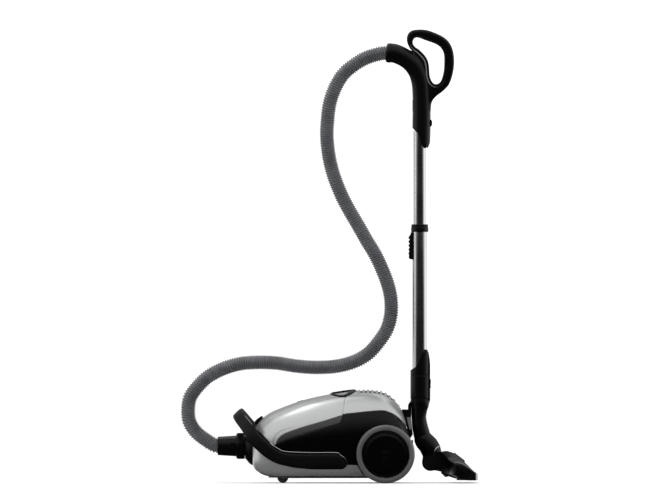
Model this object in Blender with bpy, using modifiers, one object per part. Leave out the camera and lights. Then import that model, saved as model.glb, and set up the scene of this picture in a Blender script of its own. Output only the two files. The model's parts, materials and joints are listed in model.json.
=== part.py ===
"""Canister vacuum cleaner, parked upright: body, hose, wand, handle and floor tool.

Lengths are millimetres here and metres in Blender. +X is the rear of the canister, the hose
inlet is at -X, the mirror plane is y = 0 and the floor is z = 0.
"""

import math

import bmesh
import bpy
from mathutils import Matrix, Vector

MM = 0.001
GAP = 0.4

# canister body: half width, top and underside along its length
BODY = [
    # x, half width, top, underside
    (-232, 72, 118, 42),
    (-227, 82, 134, 33),
    (-218, 91, 148, 26),
    (-206, 98, 160, 20),
    (-190, 105, 171, 16),
    (-170, 111, 180, 13.5),
    (-142, 116.5, 191, 12),
    (-112, 120.5, 201, 12),
    (-81, 122, 209, 12),
    (-40, 120, 217, 12),
    (-5, 116.5, 222.5, 12),
    (22, 114.5, 225, 12),
    (46, 114, 226, 12),
    (68, 114, 224.5, 12),
    (88, 113.5, 220, 13),
    (106, 112.5, 209, 15),
    (120, 110, 194, 18),
    (135, 105, 168, 24),
    (144, 98, 134, 31),
    (152, 86, 102, 42),
    (155, 76, 88, 52),
]
WAIST = 78.0
CROWN = 2.4
KEEL = 4.5
WALL = 3.0

# rear wheels and caster
WHEEL_X, WHEEL_R = 91.0, 71.0
WHEEL_IN, WHEEL_OUT = 118.0, 147.0
TYRE_BORE = 54.0
CASTER_X, CASTER_TRAIL, CASTER_R = -168.0, 9.0, 14.0

# hose
INLET_Z = 90.0
HOSE_R = 18.3
HOSE_LINE = [
    (-314.8, 90.0), (-323.0, 91.4), (-331.5, 95.2), (-341.4, 101.2), (-369.4, 122.7), (-386.3, 148.8),
    (-389.9, 178.4), (-385.0, 207.6), (-367.7, 233.5), (-341.8, 258.4), (-305.2, 277.9), (-264.7, 290.1),
    (-221.1, 293.8), (-173.5, 292.1), (-124.7, 284.7), (-75.9, 281.6), (-27.1, 284.7), (14.4, 295.7),
    (47.3, 314.0), (70.5, 338.4), (93.7, 372.6), (104.2, 409.2), (104.7, 445.8), (97.4, 482.4),
    (83.9, 519.0), (66.9, 555.6), (44.9, 592.2), (24.2, 628.8), (2.5, 666.0), (-16.1, 702.0),
    (-34.4, 748.3), (-45.9, 793.5), (-51.5, 842.3), (-50.3, 880.1), (-45.4, 921.6), (-34.4, 957.0),
    (-14.9, 992.3), (9.5, 1015.5), (41.5, 1035.3), (75.2, 1046.2), (97.8, 1048.9),
]
HOSE_POINTS, HOSE_SPLIT = 84, 46

# wand, handle and floor tool
WAND_X = 174.8
UPPER_R, LOWER_R, LOWER_BORE = 16.0, 18.7, 16.5
TUBE_JOIN = 632.0
STEM = [
    # centre x, centre z, radius
    (178.5, 818.0, 21.0), (178.8, 850.0, 22.3), (179.4, 900.0, 22.2), (179.0, 940.0, 21.8),
    (177.0, 972.0, 21.8), (171.0, 998.0, 22.2), (160.0, 1018.0, 22.8), (144.0, 1033.0, 22.6),
    (124.0, 1043.2, 22.3), (111.5, 1047.9, 21.9), (104.8, 1048.4, 21.6),
]
CUFF_LEAN = math.radians(-86)
GRIP_OUTER = [
    (170, 1052), (156, 1054), (147, 1067), (143, 1082), (147, 1096), (158, 1104), (184, 1105.5),
    (206, 1100), (232, 1088), (247, 1074), (256, 1054), (259, 1028), (256, 1000), (247, 973),
    (232, 956), (215, 943), (204, 928), (199, 905), (186, 905), (186, 960), (182, 1000),
]
GRIP_INNER = [
    (167, 1086), (159, 1078), (161, 1067), (176, 1054), (191, 1038), (198, 1019), (200, 993),
    (206, 978), (214, 973), (225, 979), (232, 1000), (234, 1026), (232, 1050), (219, 1067),
    (189, 1079),
]
PITCH_X, PITCH_Z, BARREL_R = 201.0, 49.5, 20.5

# side-view outlines of the shell's pieces (x, z)
SEAM = [(-5, 212), (-11, 185), (-13, 168), (-16, 154), (-20, 146)]
LID_EDGE = [(-20, 146), (-81, 127), (-146, 107), (-173, 95), (-184, 92)]
REAR_EDGE = [(-13, 168), (32, 173), (79, 177), (97, 174), (116, 165), (133, 150), (144, 134)]
WAIST_LINE = [(-184, 68), (-147, 56), (-20, 51), (-3, 45), (22, 44)]

COLORS = {
    "silver_shell": ((0.62, 0.63, 0.63), 0.3, 0.6),
    "gloss_black": ((0.012, 0.012, 0.013), 0.12, 0.0),
    "satin_black": ((0.02, 0.02, 0.021), 0.42, 0.0),
    "chrome_trim": ((0.75, 0.75, 0.76), 0.12, 1.0),
    "tube_metal": ((0.6, 0.6, 0.61), 0.25, 1.0),
    "tyre_rubber": ((0.07, 0.07, 0.07), 0.45, 0.0),
    "hose_plastic": ((0.11, 0.11, 0.115), 0.4, 0.0),
    "edge_rubber": ((0.42, 0.42, 0.42), 0.6, 0.0),
    "steel": ((0.5, 0.5, 0.5), 0.35, 1.0),
    "bag_paper": ((0.72, 0.66, 0.55), 0.9, 0.0),
    "filter_fabric": ((0.85, 0.85, 0.83), 0.95, 0.0),
    "motor_plastic": ((0.16, 0.16, 0.17), 0.6, 0.0),
    "bristle": ((0.05, 0.05, 0.05), 0.9, 0.0),
    "window": ((0.08, 0.02, 0.02), 0.15, 0.0),
}


# ---------------------------------------------------------------- scene and materials

def clear_scene():
    for obj in list(bpy.data.objects):
        bpy.data.objects.remove(obj)


def new_collection(name):
    group = bpy.data.collections.new(name)
    bpy.context.scene.collection.children.link(group)
    return group


def material(node, kind):
    color, rough, metal = COLORS[kind]
    mat = bpy.data.materials.new(node + "_" + kind)
    mat.use_nodes = True
    shader = mat.node_tree.nodes["Principled BSDF"]
    shader.inputs["Base Color"].default_value = (*color, 1.0)
    shader.inputs["Roughness"].default_value = rough
    shader.inputs["Metallic"].default_value = metal
    return mat


# ---------------------------------------------------------------- shapes

def add_mesh(name, verts, faces, kind=None, origin=(0, 0, 0), smooth=30.0):
    """A mesh object in mm with its origin at `origin`; a cutter when kind is None."""
    mesh = bpy.data.meshes.new(name)
    shift = Vector(origin)
    mesh.from_pydata([(Vector(v) - shift) * MM for v in verts], [], faces)
    fix_normals(mesh)
    obj = bpy.data.objects.new(name, mesh)
    obj.location = shift * MM
    place(obj, kind)
    if kind and smooth:
        mesh.shade_smooth()
        mesh.set_sharp_from_angle(angle=math.radians(smooth))
    return obj


def fix_normals(mesh):
    work = bmesh.new()
    work.from_mesh(mesh)
    bmesh.ops.recalc_face_normals(work, faces=work.faces)
    work.to_mesh(mesh)
    work.free()


def place(obj, kind):
    if kind:
        PARTS.objects.link(obj)
        obj.data.materials.append(material(obj.name, kind))
        return
    CUTTERS.objects.link(obj)
    obj.hide_render = True
    obj.display_type = "WIRE"


def loft(name, rings, kind=None, origin=(0, 0, 0), smooth=30.0):
    """A closed solid through equal-length rings of (x, y, z)."""
    n = len(rings[0])
    verts = [p for ring in rings for p in ring]
    faces = [tuple(range(n)), tuple(range(len(verts) - 1, len(verts) - n - 1, -1))]
    for i in range(len(rings) - 1):
        for k in range(n):
            a, b = i * n + k, i * n + (k + 1) % n
            faces.append((a, a + n, b + n, b))
    return add_mesh(name, verts, faces, kind, origin, smooth)


def prism(name, outline, y0, y1, kind=None, origin=(0, 0, 0), smooth=30.0):
    """A side-view outline (x, z) drawn out from y0 to y1."""
    rings = [[(x, y, z) for x, z in outline] for y in (y0, y1)]
    return loft(name, rings, kind, origin, smooth)


def column(name, outline, z0, z1, kind=None, origin=(0, 0, 0)):
    """A plan outline (x, y) drawn up from z0 to z1."""
    rings = [[(x, y, z) for x, y in outline] for z in (z0, z1)]
    return loft(name, rings, kind, origin)


def box(name, x, y, z, kind=None, origin=(0, 0, 0)):
    outline = [(x[0], z[0]), (x[1], z[0]), (x[1], z[1]), (x[0], z[1])]
    return prism(name, outline, y[0], y[1], kind, origin)


def turned(name, profile, centre, axis, kind=None, steps=32, closed=False, turn=0.0):
    """A profile of (radius, height) turned about `axis` through `centre`."""
    mesh = bpy.data.meshes.new(name)
    edges = [(i, i + 1) for i in range(len(profile) - 1)]
    if closed:
        edges.append((len(profile) - 1, 0))
    mesh.from_pydata([(r * MM, 0, h * MM) for r, h in profile], edges, [])
    obj = bpy.data.objects.new(name, mesh)
    frames = {
        "X": Matrix.Rotation(math.pi / 2, 4, "Y"),
        "Y": Matrix.Rotation(-math.pi / 2, 4, "X"),
        "Z": Matrix.Identity(4),
    }
    spin = Matrix.Rotation(turn, 4, "Z")
    obj.matrix_world = Matrix.Translation(Vector(centre) * MM) @ frames[axis] @ spin
    place(obj, kind)
    screw = obj.modifiers.new("Turn", "SCREW")
    screw.steps = steps
    screw.render_steps = steps
    screw.use_merge_vertices = True
    screw.merge_threshold = 0.00001
    screw.use_smooth_shade = True
    return obj


def tube(name, points, radius, kind, sides=2):
    """A round bar or hose along a list of points."""
    curve = bpy.data.curves.new(name, "CURVE")
    curve.dimensions = "3D"
    curve.bevel_depth = radius * MM
    curve.bevel_resolution = sides
    curve.use_fill_caps = True
    spline = curve.splines.new("POLY")
    spline.points.add(len(points) - 1)
    for slot, p in zip(spline.points, points):
        slot.co = (p[0] * MM, p[1] * MM, p[2] * MM, 1.0)
    obj = bpy.data.objects.new(name, curve)
    place(obj, kind)
    return obj


def cut(obj, cutter, operation="DIFFERENCE"):
    mod = obj.modifiers.new(cutter.name, "BOOLEAN")
    mod.operation = operation
    mod.solver = "EXACT"
    mod.object = cutter


def smooth_path(points, count):
    """`count` evenly spread points on a smooth curve through `points` (x, z)."""
    dense = []
    last = len(points) - 1
    for i in range(last):
        p0, p1 = points[max(i - 1, 0)], points[i]
        p2, p3 = points[i + 1], points[min(i + 2, last)]
        for k in range(12):
            t = k / 12
            dense.append(tuple(spline_value(p0[j], p1[j], p2[j], p3[j], t) for j in (0, 1)))
    dense.append(points[-1])
    reach = [0.0]
    for a, b in zip(dense, dense[1:]):
        reach.append(reach[-1] + math.dist(a, b))
    out = []
    k = 0
    for i in range(count):
        want = reach[-1] * i / (count - 1)
        while k < len(reach) - 2 and reach[k + 1] < want:
            k += 1
        t = (want - reach[k]) / (reach[k + 1] - reach[k])
        a, b = dense[k], dense[k + 1]
        out.append((a[0] + (b[0] - a[0]) * t, 0.0, a[1] + (b[1] - a[1]) * t))
    return out


def spline_value(p0, p1, p2, p3, t):
    a = 2 * p1
    b = p2 - p0
    c = 2 * p0 - 5 * p1 + 4 * p2 - p3
    d = 3 * p1 - p0 - 3 * p2 + p3
    return 0.5 * (a + b * t + c * t * t + d * t ** 3)


# ---------------------------------------------------------------- canister body form

def body_size(x):
    for a, b in zip(BODY, BODY[1:]):
        if x <= b[0]:
            t = max(0.0, (x - a[0]) / (b[0] - a[0]))
            return [a[k] + (b[k] - a[k]) * t for k in (1, 2, 3)]
    return list(BODY[-1][1:])


def body_y(x, z):
    """Half width of the body at a height."""
    wide, top, under = body_size(x)
    if z > WAIST:
        return wide * (1 - ((z - WAIST) / (top - WAIST)) ** CROWN) ** (1 / CROWN)
    return wide * (1 - ((WAIST - z) / (WAIST - under)) ** KEEL) ** (1 / KEEL)


def body_ring(x, inset, sides, floor=None):
    wide, top, under = body_size(x)
    wide, top, under = wide - inset, top - inset, under + inset
    if floor is not None:
        under = max(under, floor)
    ring = []
    for k in range(sides):
        c = math.cos(2 * math.pi * (k + 0.5) / sides)
        s = math.sin(2 * math.pi * (k + 0.5) / sides)
        n = CROWN if s > 0 else KEEL
        rise = top - WAIST if s > 0 else WAIST - under
        y = math.copysign(wide * abs(c) ** (2 / n), c)
        z = WAIST + math.copysign(rise * abs(s) ** (2 / n), s)
        ring.append((x, y, z))
    return ring


def body_form(name, inset=0.0, kind=None, sides=28, step=1):
    stations = [row[0] for row in BODY][::step]
    if stations[-1] != BODY[-1][0]:
        stations.append(BODY[-1][0])
    first, last = stations[0] + inset, stations[-1] - inset
    rings = []
    for x in stations:
        at = {stations[0]: first, stations[-1]: last}.get(x, x)
        if first <= at <= last:
            rings.append([(at, y, z) for _, y, z in body_ring(x, inset, sides)])
    return loft(name, rings, kind)


def shrink(outline, by):
    """A side-view outline moved inward by a small gap."""
    area = sum(a[0] * b[1] - b[0] * a[1] for a, b in zip(outline, outline[1:] + outline[:1]))
    side = 1.0 if area > 0 else -1.0
    out = []
    n = len(outline)
    for i in range(n):
        a, b, c = outline[i - 1], outline[i], outline[(i + 1) % n]
        n1 = edge_normal(a, b, side)
        n2 = edge_normal(b, c, side)
        k = by / max(0.35, 1 + n1[0] * n2[0] + n1[1] * n2[1])
        out.append((b[0] + (n1[0] + n2[0]) * k, b[1] + (n1[1] + n2[1]) * k))
    return out


def edge_normal(a, b, side):
    dx, dz = b[0] - a[0], b[1] - a[1]
    size = math.hypot(dx, dz)
    return (-dz / size * side, dx / size * side)


def shell_piece(name, outline, kind, y=(-200, 200), origin=(0, 0, 0), wall=WALL):
    """The part of the canister's shell that lies inside a side-view outline."""
    obj = body_form(name, 0.0, kind)
    cut(obj, prism(name + "_field", shrink(outline, GAP / 2), y[0], y[1]), "INTERSECT")
    cut(obj, body_form(name + "_hollow", wall, sides=24))
    move_origin(obj, origin)
    return obj


def move_origin(obj, origin):
    """Puts the object's origin at a point in mm without moving its shape."""
    shift = Vector(origin) * MM
    obj.data.transform(Matrix.Translation(-shift))
    obj.location = shift


def ellipse(cx, cy, a, b, count=28):
    turn = [2 * math.pi * k / count for k in range(count)]
    return [(cx + a * math.cos(t), cy + b * math.sin(t)) for t in turn]


# ---------------------------------------------------------------- canister shell

OVAL_X, OVAL_A, OVAL_B = -12.0, 33.0, 58.0
GRILLE = (24.0, 127.0, 48.0)
LID_HINGE = (-5.0, 0.0, 223.5)
GRILLE_HINGE = (127.6, 0.0, 184.5)
INDICATOR = (-125.0, -109.0, 12.0)


def oval_cutter(name, grow):
    return column(name, ellipse(OVAL_X, 0, OVAL_A + grow, OVAL_B + grow), 150, 260)


def axle_hole(name):
    return turned(name, [(0, 170), (5.6, 170), (5.6, -170), (0, -170)],
                  (WHEEL_X, 0, WHEEL_R), "Y", steps=16)


def inlet_hole(name, radius=21.6):
    return turned(name, [(0, 60), (radius, 60), (radius, -60), (0, -60)],
                  (-232, 0, INLET_Z), "X", steps=24)


def lid():
    outline = [(-5, 250)] + SEAM + LID_EDGE[1:] + [(-226, 135), (-250, 150), (-250, 250)]
    obj = shell_piece("lid", outline, "silver_shell", origin=LID_HINGE)
    cut(obj, oval_cutter("lid_oval", GAP))
    half = OVAL_B + 1.2
    cut(obj, box("lid_notch", (OVAL_X - 0.6, 5), (-half, half), (150, 260)))
    x0, x1, half = INDICATOR
    cut(obj, box("lid_window", (x0 - 0.3, x1 + 0.3), (-half - 0.3, half + 0.3), (150, 260)))


def rear_cover():
    outline = [(-5, 250)] + SEAM[:3] + REAR_EDGE[1:] + [(170, 118), (170, 250)]
    obj = shell_piece("rear_cover", outline, "silver_shell")
    cut(obj, oval_cutter("rear_oval", GAP))
    x0, x1, half = GRILLE
    cut(obj, box("rear_vent", (x0 - GAP, x1 + GAP), (-half - GAP, half + GAP), (150, 260)))


def side_panel(name, side):
    outline = LID_EDGE[::-1] + [(-16, 154)] + REAR_EDGE
    outline += [(150, 110), (175, 60), (175, 5), (46, 5)] + WAIST_LINE[::-1]
    y = (0.0, 200.0) if side > 0 else (-200.0, 0.0)
    obj = shell_piece(name, outline, "gloss_black", y)
    cut(obj, box(name + "_floor", (10, 180), (-96, 96), (-5, 44.2)))
    cut(obj, box(name + "_rear", (118, 180), (-90, 90), (43, 170)))
    cut(obj, axle_hole(name + "_axle"))


def lower_tub():
    outline = [(-245, -5), (175, -5), (175, 44)] + WAIST_LINE[::-1]
    outline += [(-206, 88), (-232, 98), (-245, 98)]
    obj = shell_piece("lower_tub", outline, "silver_shell")
    field = [(22 - GAP, 44.6), (46 - GAP, 4), (180, 4), (180, 60), (22 - GAP, 60)]
    cut(obj, prism("tub_left_rear", field, 95.6, 200))
    cut(obj, prism("tub_right_rear", field, -200, -95.6))
    cut(obj, inlet_hole("tub_inlet"))
    cut(obj, turned("tub_turret", [(0, 30), (26.4, 30), (26.4, -20), (0, -20)],
                    (CASTER_X, 0, 12), "Z", steps=28))


def front_panel():
    outline = [(-184, 92), (-226, 135), (-250, 150), (-250, 98), (-232, 98), (-206, 88)]
    outline += [(-184, 68)]
    obj = shell_piece("front_panel", outline, "gloss_black")
    cut(obj, inlet_hole("front_inlet"))


def rear_panel():
    outline = [(118, 44), (175, 44), (175, 110), (144, 134), (133, 150), (118, 163)]
    obj = shell_piece("rear_panel", outline, "satin_black", (-89.6, 89.6))
    cut(obj, turned("rear_cord_hole", [(0, 20), (9.4, 20), (9.4, -30), (0, -30)],
                    (150, 56, 92), "X", steps=20))


def console():
    bezel = body_form("console_bezel", -1.2, "gloss_black")
    cut(bezel, oval_cutter("bezel_field", 0), "INTERSECT")
    cut(bezel, body_form("bezel_under", 8.0))
    for side in (-1, 1):
        cut(bezel, half_oval("bezel_well", side, 0))
    button("power_button", -1)
    button("cord_rewind_button", 1)
    slider = body_form("suction_slider", -4.2, "satin_black")
    cut(slider, box("slider_field", (-21, -7), (-5, 5), (200, 260)), "INTERSECT")
    cut(slider, body_form("slider_under", -1.7))
    move_origin(slider, (-14, 0, 225))


def half_oval(name, side, shrink_by):
    a, b = OVAL_A - 5 - shrink_by, OVAL_B - 6 - shrink_by
    start = 9 + shrink_by
    points = [p for p in ellipse(OVAL_X, 0, a, b, 40) if p[1] * side > start + 1.0]
    if side < 0:
        points.sort(key=lambda p: p[0])
    else:
        points.sort(key=lambda p: -p[0])
    edge = a * math.sqrt(1 - (start / b) ** 2)
    ends = [(OVAL_X - edge, side * start), (OVAL_X + edge, side * start)]
    if side > 0:
        ends.reverse()
    return column(name, [ends[0]] + points + [ends[1]], 190, 260)


def button(name, side):
    obj = body_form(name, -2.2, "silver_shell")
    cut(obj, half_oval(name + "_field", side, GAP), "INTERSECT")
    cut(obj, body_form(name + "_under", 5.5))
    move_origin(obj, (OVAL_X, side * 32, 218))


def bag_indicator():
    x0, x1, half = INDICATOR
    obj = body_form("bag_full_indicator", -0.8, "window")
    cut(obj, box("indicator_field", (x0, x1), (-half, half), (150, 260)), "INTERSECT")
    cut(obj, body_form("indicator_under", 3.4))


def exhaust_grille():
    x0, x1, half = GRILLE
    obj = body_form("exhaust_grille", -1.2, "silver_shell")
    cut(obj, box("grille_field", (x0, x1), (-half, half), (150, 260)), "INTERSECT")
    cut(obj, body_form("grille_under", 3.6))
    pitch = (x1 - x0 - 6) / 12
    for k in range(11):
        left = x0 + 3 + pitch * (k + 0.5) + 2.2
        cut(obj, box("louvre_slot", (left, left + pitch - 4.4), (-half + 6, half - 6), (150, 260)))
    move_origin(obj, GRILLE_HINGE)


def lid_latch():
    inner = [(-206.2, 160.6), (-217.4, 148.5), (-227.5, 134.8)]
    outer = [(-232.0, 137.0), (-231.0, 143.0), (-221.5, 154.0), (-212.0, 162.0)]
    prism("lid_latch", inner + outer, -20, 20, "satin_black", origin=(-206.2, 0, 160.8))


# ---------------------------------------------------------------- bumper, trim and fittings

RAIL = [
    # upper edge x, z, lower edge x, z, y of the middle line, thickness
    (-4, 46.5, -4, 41.5, 117, 9),
    (-10, 57, -12, 35, 117.5, 11),
    (-27, 71, -28, 34, 119, 12),
    (-84, 71, -82, 34, 122.5, 12),
    (-128, 72.5, -124, 37, 119.5, 12),
    (-157, 75, -150, 42, 115.5, 12.5),
    (-183, 89, -176, 49, 110, 13),
    (-206, 109, -206, 67, 104.5, 14),
    (-222, 127, -240, 99, 96.5, 15),
    (-227, 145, -251, 117, 88, 16),
    (-238, 159, -262, 133, 74, 17),
    (-247, 170, -271, 145, 54, 17),
    (-252.5, 176.5, -276.5, 153.5, 28, 17),
    (-254, 178.5, -278, 156, 0, 17),
]


def bumper():
    half = [(Vector((u, -y, v)), Vector((p, -y, q)), t) for u, v, p, q, y, t in RAIL]
    flip = [(mirror(a), mirror(b), t) for a, b, t in half[-2::-1]]
    rows = half + flip
    rings = []
    for i, (top, low, thick) in enumerate(rows):
        before = rows[max(i - 1, 0)]
        after = rows[min(i + 1, len(rows) - 1)]
        run = ((after[0] + after[1]) - (before[0] + before[1])).normalized()
        up = (top - low).normalized()
        out = up.cross(run).normalized()
        rings.append(rounded_ring((top + low) / 2, up, out, (top - low).length / 2, thick / 2))
    obj = loft("bumper_handle", rings, "satin_black", smooth=50)
    cut(obj, body_form("bumper_back", -GAP))


def mirror(p):
    return Vector((p.x, -p.y, p.z))


def rounded_ring(mid, up, out, tall, thick):
    r = min(tall, thick) * 0.85
    ring = []
    for sx, sz, start in ((1, 1, 0), (-1, 1, 90), (-1, -1, 180), (1, -1, 270)):
        for k in range(3):
            a = math.radians(start + 45 * k)
            u = sz * (tall - r) + r * math.sin(a)
            v = sx * (thick - r) + r * math.cos(a)
            p = mid + up * u + out * v
            ring.append((p.x, p.y, p.z))
    return ring


def chrome_trim(name, side):
    line = [(-190, 98.5), (-183, 91.7), (-170, 84.0), (-157, 77.8), (-128, 75.3), (-84, 74.2),
            (-29, 74.0), (-19, 68.5), (-8.8, 61), (-3.2, 52.5), (-0.6, 45)]
    points = []
    for x, z in line:
        points.append((x, side * (body_y(x, z) + 3.2), z))
    tube(name, points, 1.5, "chrome_trim")


def inlet_collar():
    rings = []
    for x, cz, rz, ry in ((-232.3, 79, 36.5, 40), (-240, 82, 35.5, 37), (-251, INLET_Z, 31, 31)):
        turn = [2 * math.pi * k / 28 for k in range(28)]
        rings.append([(x, ry * math.cos(t), cz + rz * math.sin(t)) for t in turn])
    obj = loft("inlet_collar", rings, "satin_black")
    cut(obj, inlet_hole("collar_bore", 21.6))


def parking_bracket():
    outline = [(152.4, 179), (131.5, 179), (138.5, 165), (146.2, 136), (154, 104), (157, 118)]
    obj = prism("parking_bracket", outline, -19, 19, "satin_black")
    cut(obj, body_form("bracket_back", -GAP))
    cut(obj, box("bracket_slot", (144.6, 160), (-10, 10), (155, 190)))


def cord_outlet():
    turned("cord_outlet", [(12.5, 3.4), (12.5, 0), (9, 0), (9, -8), (5, -8), (5, 3.4)],
           (155.5, 56, 92), "X", "satin_black", steps=20, closed=True)


# ---------------------------------------------------------------- wheels and caster

def rear_wheel(side, tag):
    n = 36
    grow = 1 / math.cos(math.pi / n)
    turn = math.pi / n
    centre = (WHEEL_X, 0, WHEEL_R)
    face, back = side * WHEEL_OUT, side * WHEEL_IN
    edge = side * 5
    tyre = [(WHEEL_R - 4, face), (WHEEL_R, face - edge), (WHEEL_R, back + edge),
            (WHEEL_R - 3, back), (TYRE_BORE, back), (TYRE_BORE, face)]
    hub = [(8, face + side * 2.5), (34, face + side * 2.5), (46, face + side),
           (TYRE_BORE - GAP, face - side * 2), (TYRE_BORE - GAP, back + side),
           (5.8, back + side), (5.8, back + side * 22), (0, back + side * 22)]
    hub = [(0, face + side * 3.5)] + hub
    if side < 0:
        tyre = tyre[::-1]
        hub = hub[::-1]
    tyre = [(r * grow if r > 60 else r, h) for r, h in tyre]
    turned("wheel_tyre_" + tag, tyre, centre, "Y", "tyre_rubber", n, True, turn)
    turned("wheel_hub_" + tag, hub, centre, "Y", "gloss_black", n, turn=turn)
    pin = [(0, side * 131), (5.2, side * 131), (5.2, side * 104), (0, side * 104)]
    if side < 0:
        pin = pin[::-1]
    turned("axle_stub_" + tag, pin, centre, "Y", "steel", 16)


def caster():
    centre = (CASTER_X, 0, 12.6)
    wheel_at = CASTER_X + CASTER_TRAIL
    fork = turned("caster_turret", [(0, 22), (24, 22), (26, 20), (26, 0), (0, 0)],
                  centre, "Z", "satin_black", 28)
    cut(fork, box("caster_slot", (wheel_at - 16, wheel_at + 16), (-8.2, 8.2), (0, 30.6)))
    n = 24
    grow = 1 / math.cos(math.pi / n)
    r = CASTER_R * grow
    tread = [(r - 2, 7), (r, 5), (r, -5), (r - 2, -7), (2.6, -7), (2.6, 7)]
    turned("caster_wheel", tread, (wheel_at, 0, CASTER_R), "Y", "tyre_rubber", n, True,
           math.pi / n)
    turned("caster_pin", [(0, 14), (2.2, 14), (2.2, -14), (0, -14)],
           (wheel_at, 0, CASTER_R), "Y", "steel", 12)
    cut(fork, turned("caster_pin_bore", [(0, 14.4), (2.6, 14.4), (2.6, -14.4), (0, -14.4)],
                     (wheel_at, 0, CASTER_R), "Y", steps=12))


# ---------------------------------------------------------------- inside the canister

def insides():
    rings = [bag_ring(x, inset) for x, inset in
             ((-199, 34), (-194, 20), (-165, 15), (-122, 15), (-81, 15), (-52, 18), (-44, 34))]
    bag = loft("dust_bag", rings, "bag_paper")
    rings = [bag_ring(x, inset, 47) for x, inset in
             ((-196, 37), (-192, 23), (-165, 18), (-122, 18), (-81, 18), (-53, 21), (-47, 37))]
    cut(bag, loft("bag_hollow", rings))
    cut(bag, turned("bag_mouth", [(0, 20), (17, 20), (17, -20), (0, -20)],
                    (-199, 0, INLET_Z), "X", steps=20))
    holder = box("bag_holder", (-206.5, -202.5), (-52, 52), (42, 132), "motor_plastic")
    cut(holder, turned("holder_bore", [(0, 20), (19, 20), (19, -20), (0, -20)],
                       (-204, 0, INLET_Z), "X", steps=24))
    rings = [body_ring(x, 13, 24) for x in (-34, -26)]
    loft("motor_filter", rings, "filter_fabric")
    box("exhaust_filter", (30, 106), (-44, 44), (163, 181), "filter_fabric")
    motor()
    reel = [(6, 28), (46, 28), (46, 25), (22, 25), (22, -25), (46, -25), (46, -28), (6, -28)]
    turned("cord_reel", reel, (62, 53, 86), "Y", "motor_plastic", 28, True)


def bag_ring(x, inset, floor=44):
    return body_ring(x, inset, 20, floor)


def motor():
    centre = (-8, -50, 74)
    case = [(41, 0), (41, 34), (31, 44), (31, 92), (6, 92), (6, 88), (27, 88), (27, 42),
            (37, 33), (37, 4), (18, 4), (18, 0)]
    turned("motor_housing", case[::-1], centre, "X", "motor_plastic", 28, True)
    rotor = [(0, 86), (4, 86), (22, 80), (22, 50), (5, 46), (5, 26), (34, 24), (34, 10), (8, 8),
             (0, 8)]
    turned("motor_rotor", rotor, centre, "X", "steel", 24)


# ---------------------------------------------------------------- hose and its ends

def hose():
    body = turned("hose_connector",
                  [(21.0, 84), (21.0, 63.2), (31.5, 62.4), (31.5, 43), (24.5, 41), (24, 30),
                   (21, 0), (16.5, 0), (16.5, 84)],
                  (-314.5, 0, INLET_Z), "X", "satin_black", 28, True)
    for side, tag in ((-1, "near"), (1, "far")):
        y = (21.8, 27.2) if side > 0 else (-27.2, -21.8)
        well = (20.0, 40.0) if side > 0 else (-40.0, -20.0)
        low, high = INLET_Z - 7, INLET_Z + 7
        cut(body, box("release_well_" + tag, (-287.4, -275.6), well, (low - GAP, high + GAP)))
        box("hose_release_" + tag, (-287, -276), y, (low, high), "gloss_black",
            origin=(-281, side * 24, INLET_Z))
    line = [Vector(p) for p in smooth_path(HOSE_LINE, HOSE_POINTS)]
    k = HOSE_SPLIT
    lead = (line[k + 1] - line[k - 1]).normalized()
    foot = line[0] + Vector((-3.5, 0, 0))
    low = [line[0], foot] + line[1:k] + [line[k] - lead * 3, line[k] - lead * 0.15]
    tube("hose_lower", low, HOSE_R, "hose_plastic")
    cuff = Vector((math.sin(CUFF_LEAN), 0, math.cos(CUFF_LEAN)))
    high = [line[k] + lead * 0.15, line[k] + lead * 3] + line[k + 1:-1]
    high += [line[-1] + cuff * 3.5, line[-1]]
    tube("hose_upper", high, HOSE_R, "hose_plastic")


def hose_collar():
    """Ring that turns on the end of the handle and holds the hose."""
    x, z, _ = STEM[-1]
    obj = turned("handle_hose_collar",
                 [(20.4, 6.7), (21.6, 5.7), (21.6, 1.2), (20.8, 0.3), (16.6, 0.3), (16.6, 6.7)],
                 (x, 0, z), "Z", "satin_black", 24, True)
    lean = Matrix.Rotation(CUFF_LEAN, 4, "Y")
    obj.matrix_world = Matrix.Translation(Vector((x, 0, z)) * MM) @ lean


# ---------------------------------------------------------------- handle and wand

def bent_rings(rows, sides, grow=0.0, y_scale=1.0):
    """Rings square to a bent line in the y = 0 plane."""
    rings = []
    for i, (x, z, r) in enumerate(rows):
        before, after = rows[max(i - 1, 0)], rows[min(i + 1, len(rows) - 1)]
        dx, dz = after[0] - before[0], after[1] - before[1]
        size = math.hypot(dx, dz)
        ax, az = dz / size, -dx / size
        r += grow
        turn = [2 * math.pi * (k + 0.5) / sides for k in range(sides)]
        rings.append([(x + r * math.cos(t) * ax, r * math.sin(t) * y_scale,
                       z + r * math.cos(t) * az) for t in turn])
    return rings


def handle():
    body = loft("handle_body", bent_rings(STEM, 20), "satin_black", smooth=40)
    grip = prism("grip_form", GRIP_OUTER, -13, 13)
    soften(grip, 5.0)
    cut(body, grip, "UNION")
    hole = prism("grip_hole", GRIP_INNER, -20, 20)
    cut(body, hole)
    slant = [(140, 868), (140, 790), (230, 790), (230, 806), (198, 814)]
    cut(body, prism("handle_slant", slant, -40, 40))
    bore = [(x, z, 16.6) for x, z, _ in STEM]
    bore[0] = (WAND_X, 780, 16.6)
    bore[1] = (WAND_X, 864, 16.6)
    bore[-1] = (90.0, 1049.6, 16.6)
    cut(body, loft("handle_duct", bent_rings(bore, 20)))
    cut(body, box("handle_latch_well", (197.2, 215), (-7.4, 7.4), (867.6, 887.4)))
    latch = [(198.6, 868), (201.8, 868), (205.2, 873), (205.2, 882), (201.8, 887), (198.6, 887)]
    prism("handle_latch_button", latch, -7, 7, "gloss_black", origin=(203, 0, 878))
    relief = [(154.4, 905), (154.4, 935), (156.6, 935), (156.6, 905)]
    prism("air_relief_slider", relief, -7, 7, "gloss_black", origin=(155.5, 0, 920))


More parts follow.
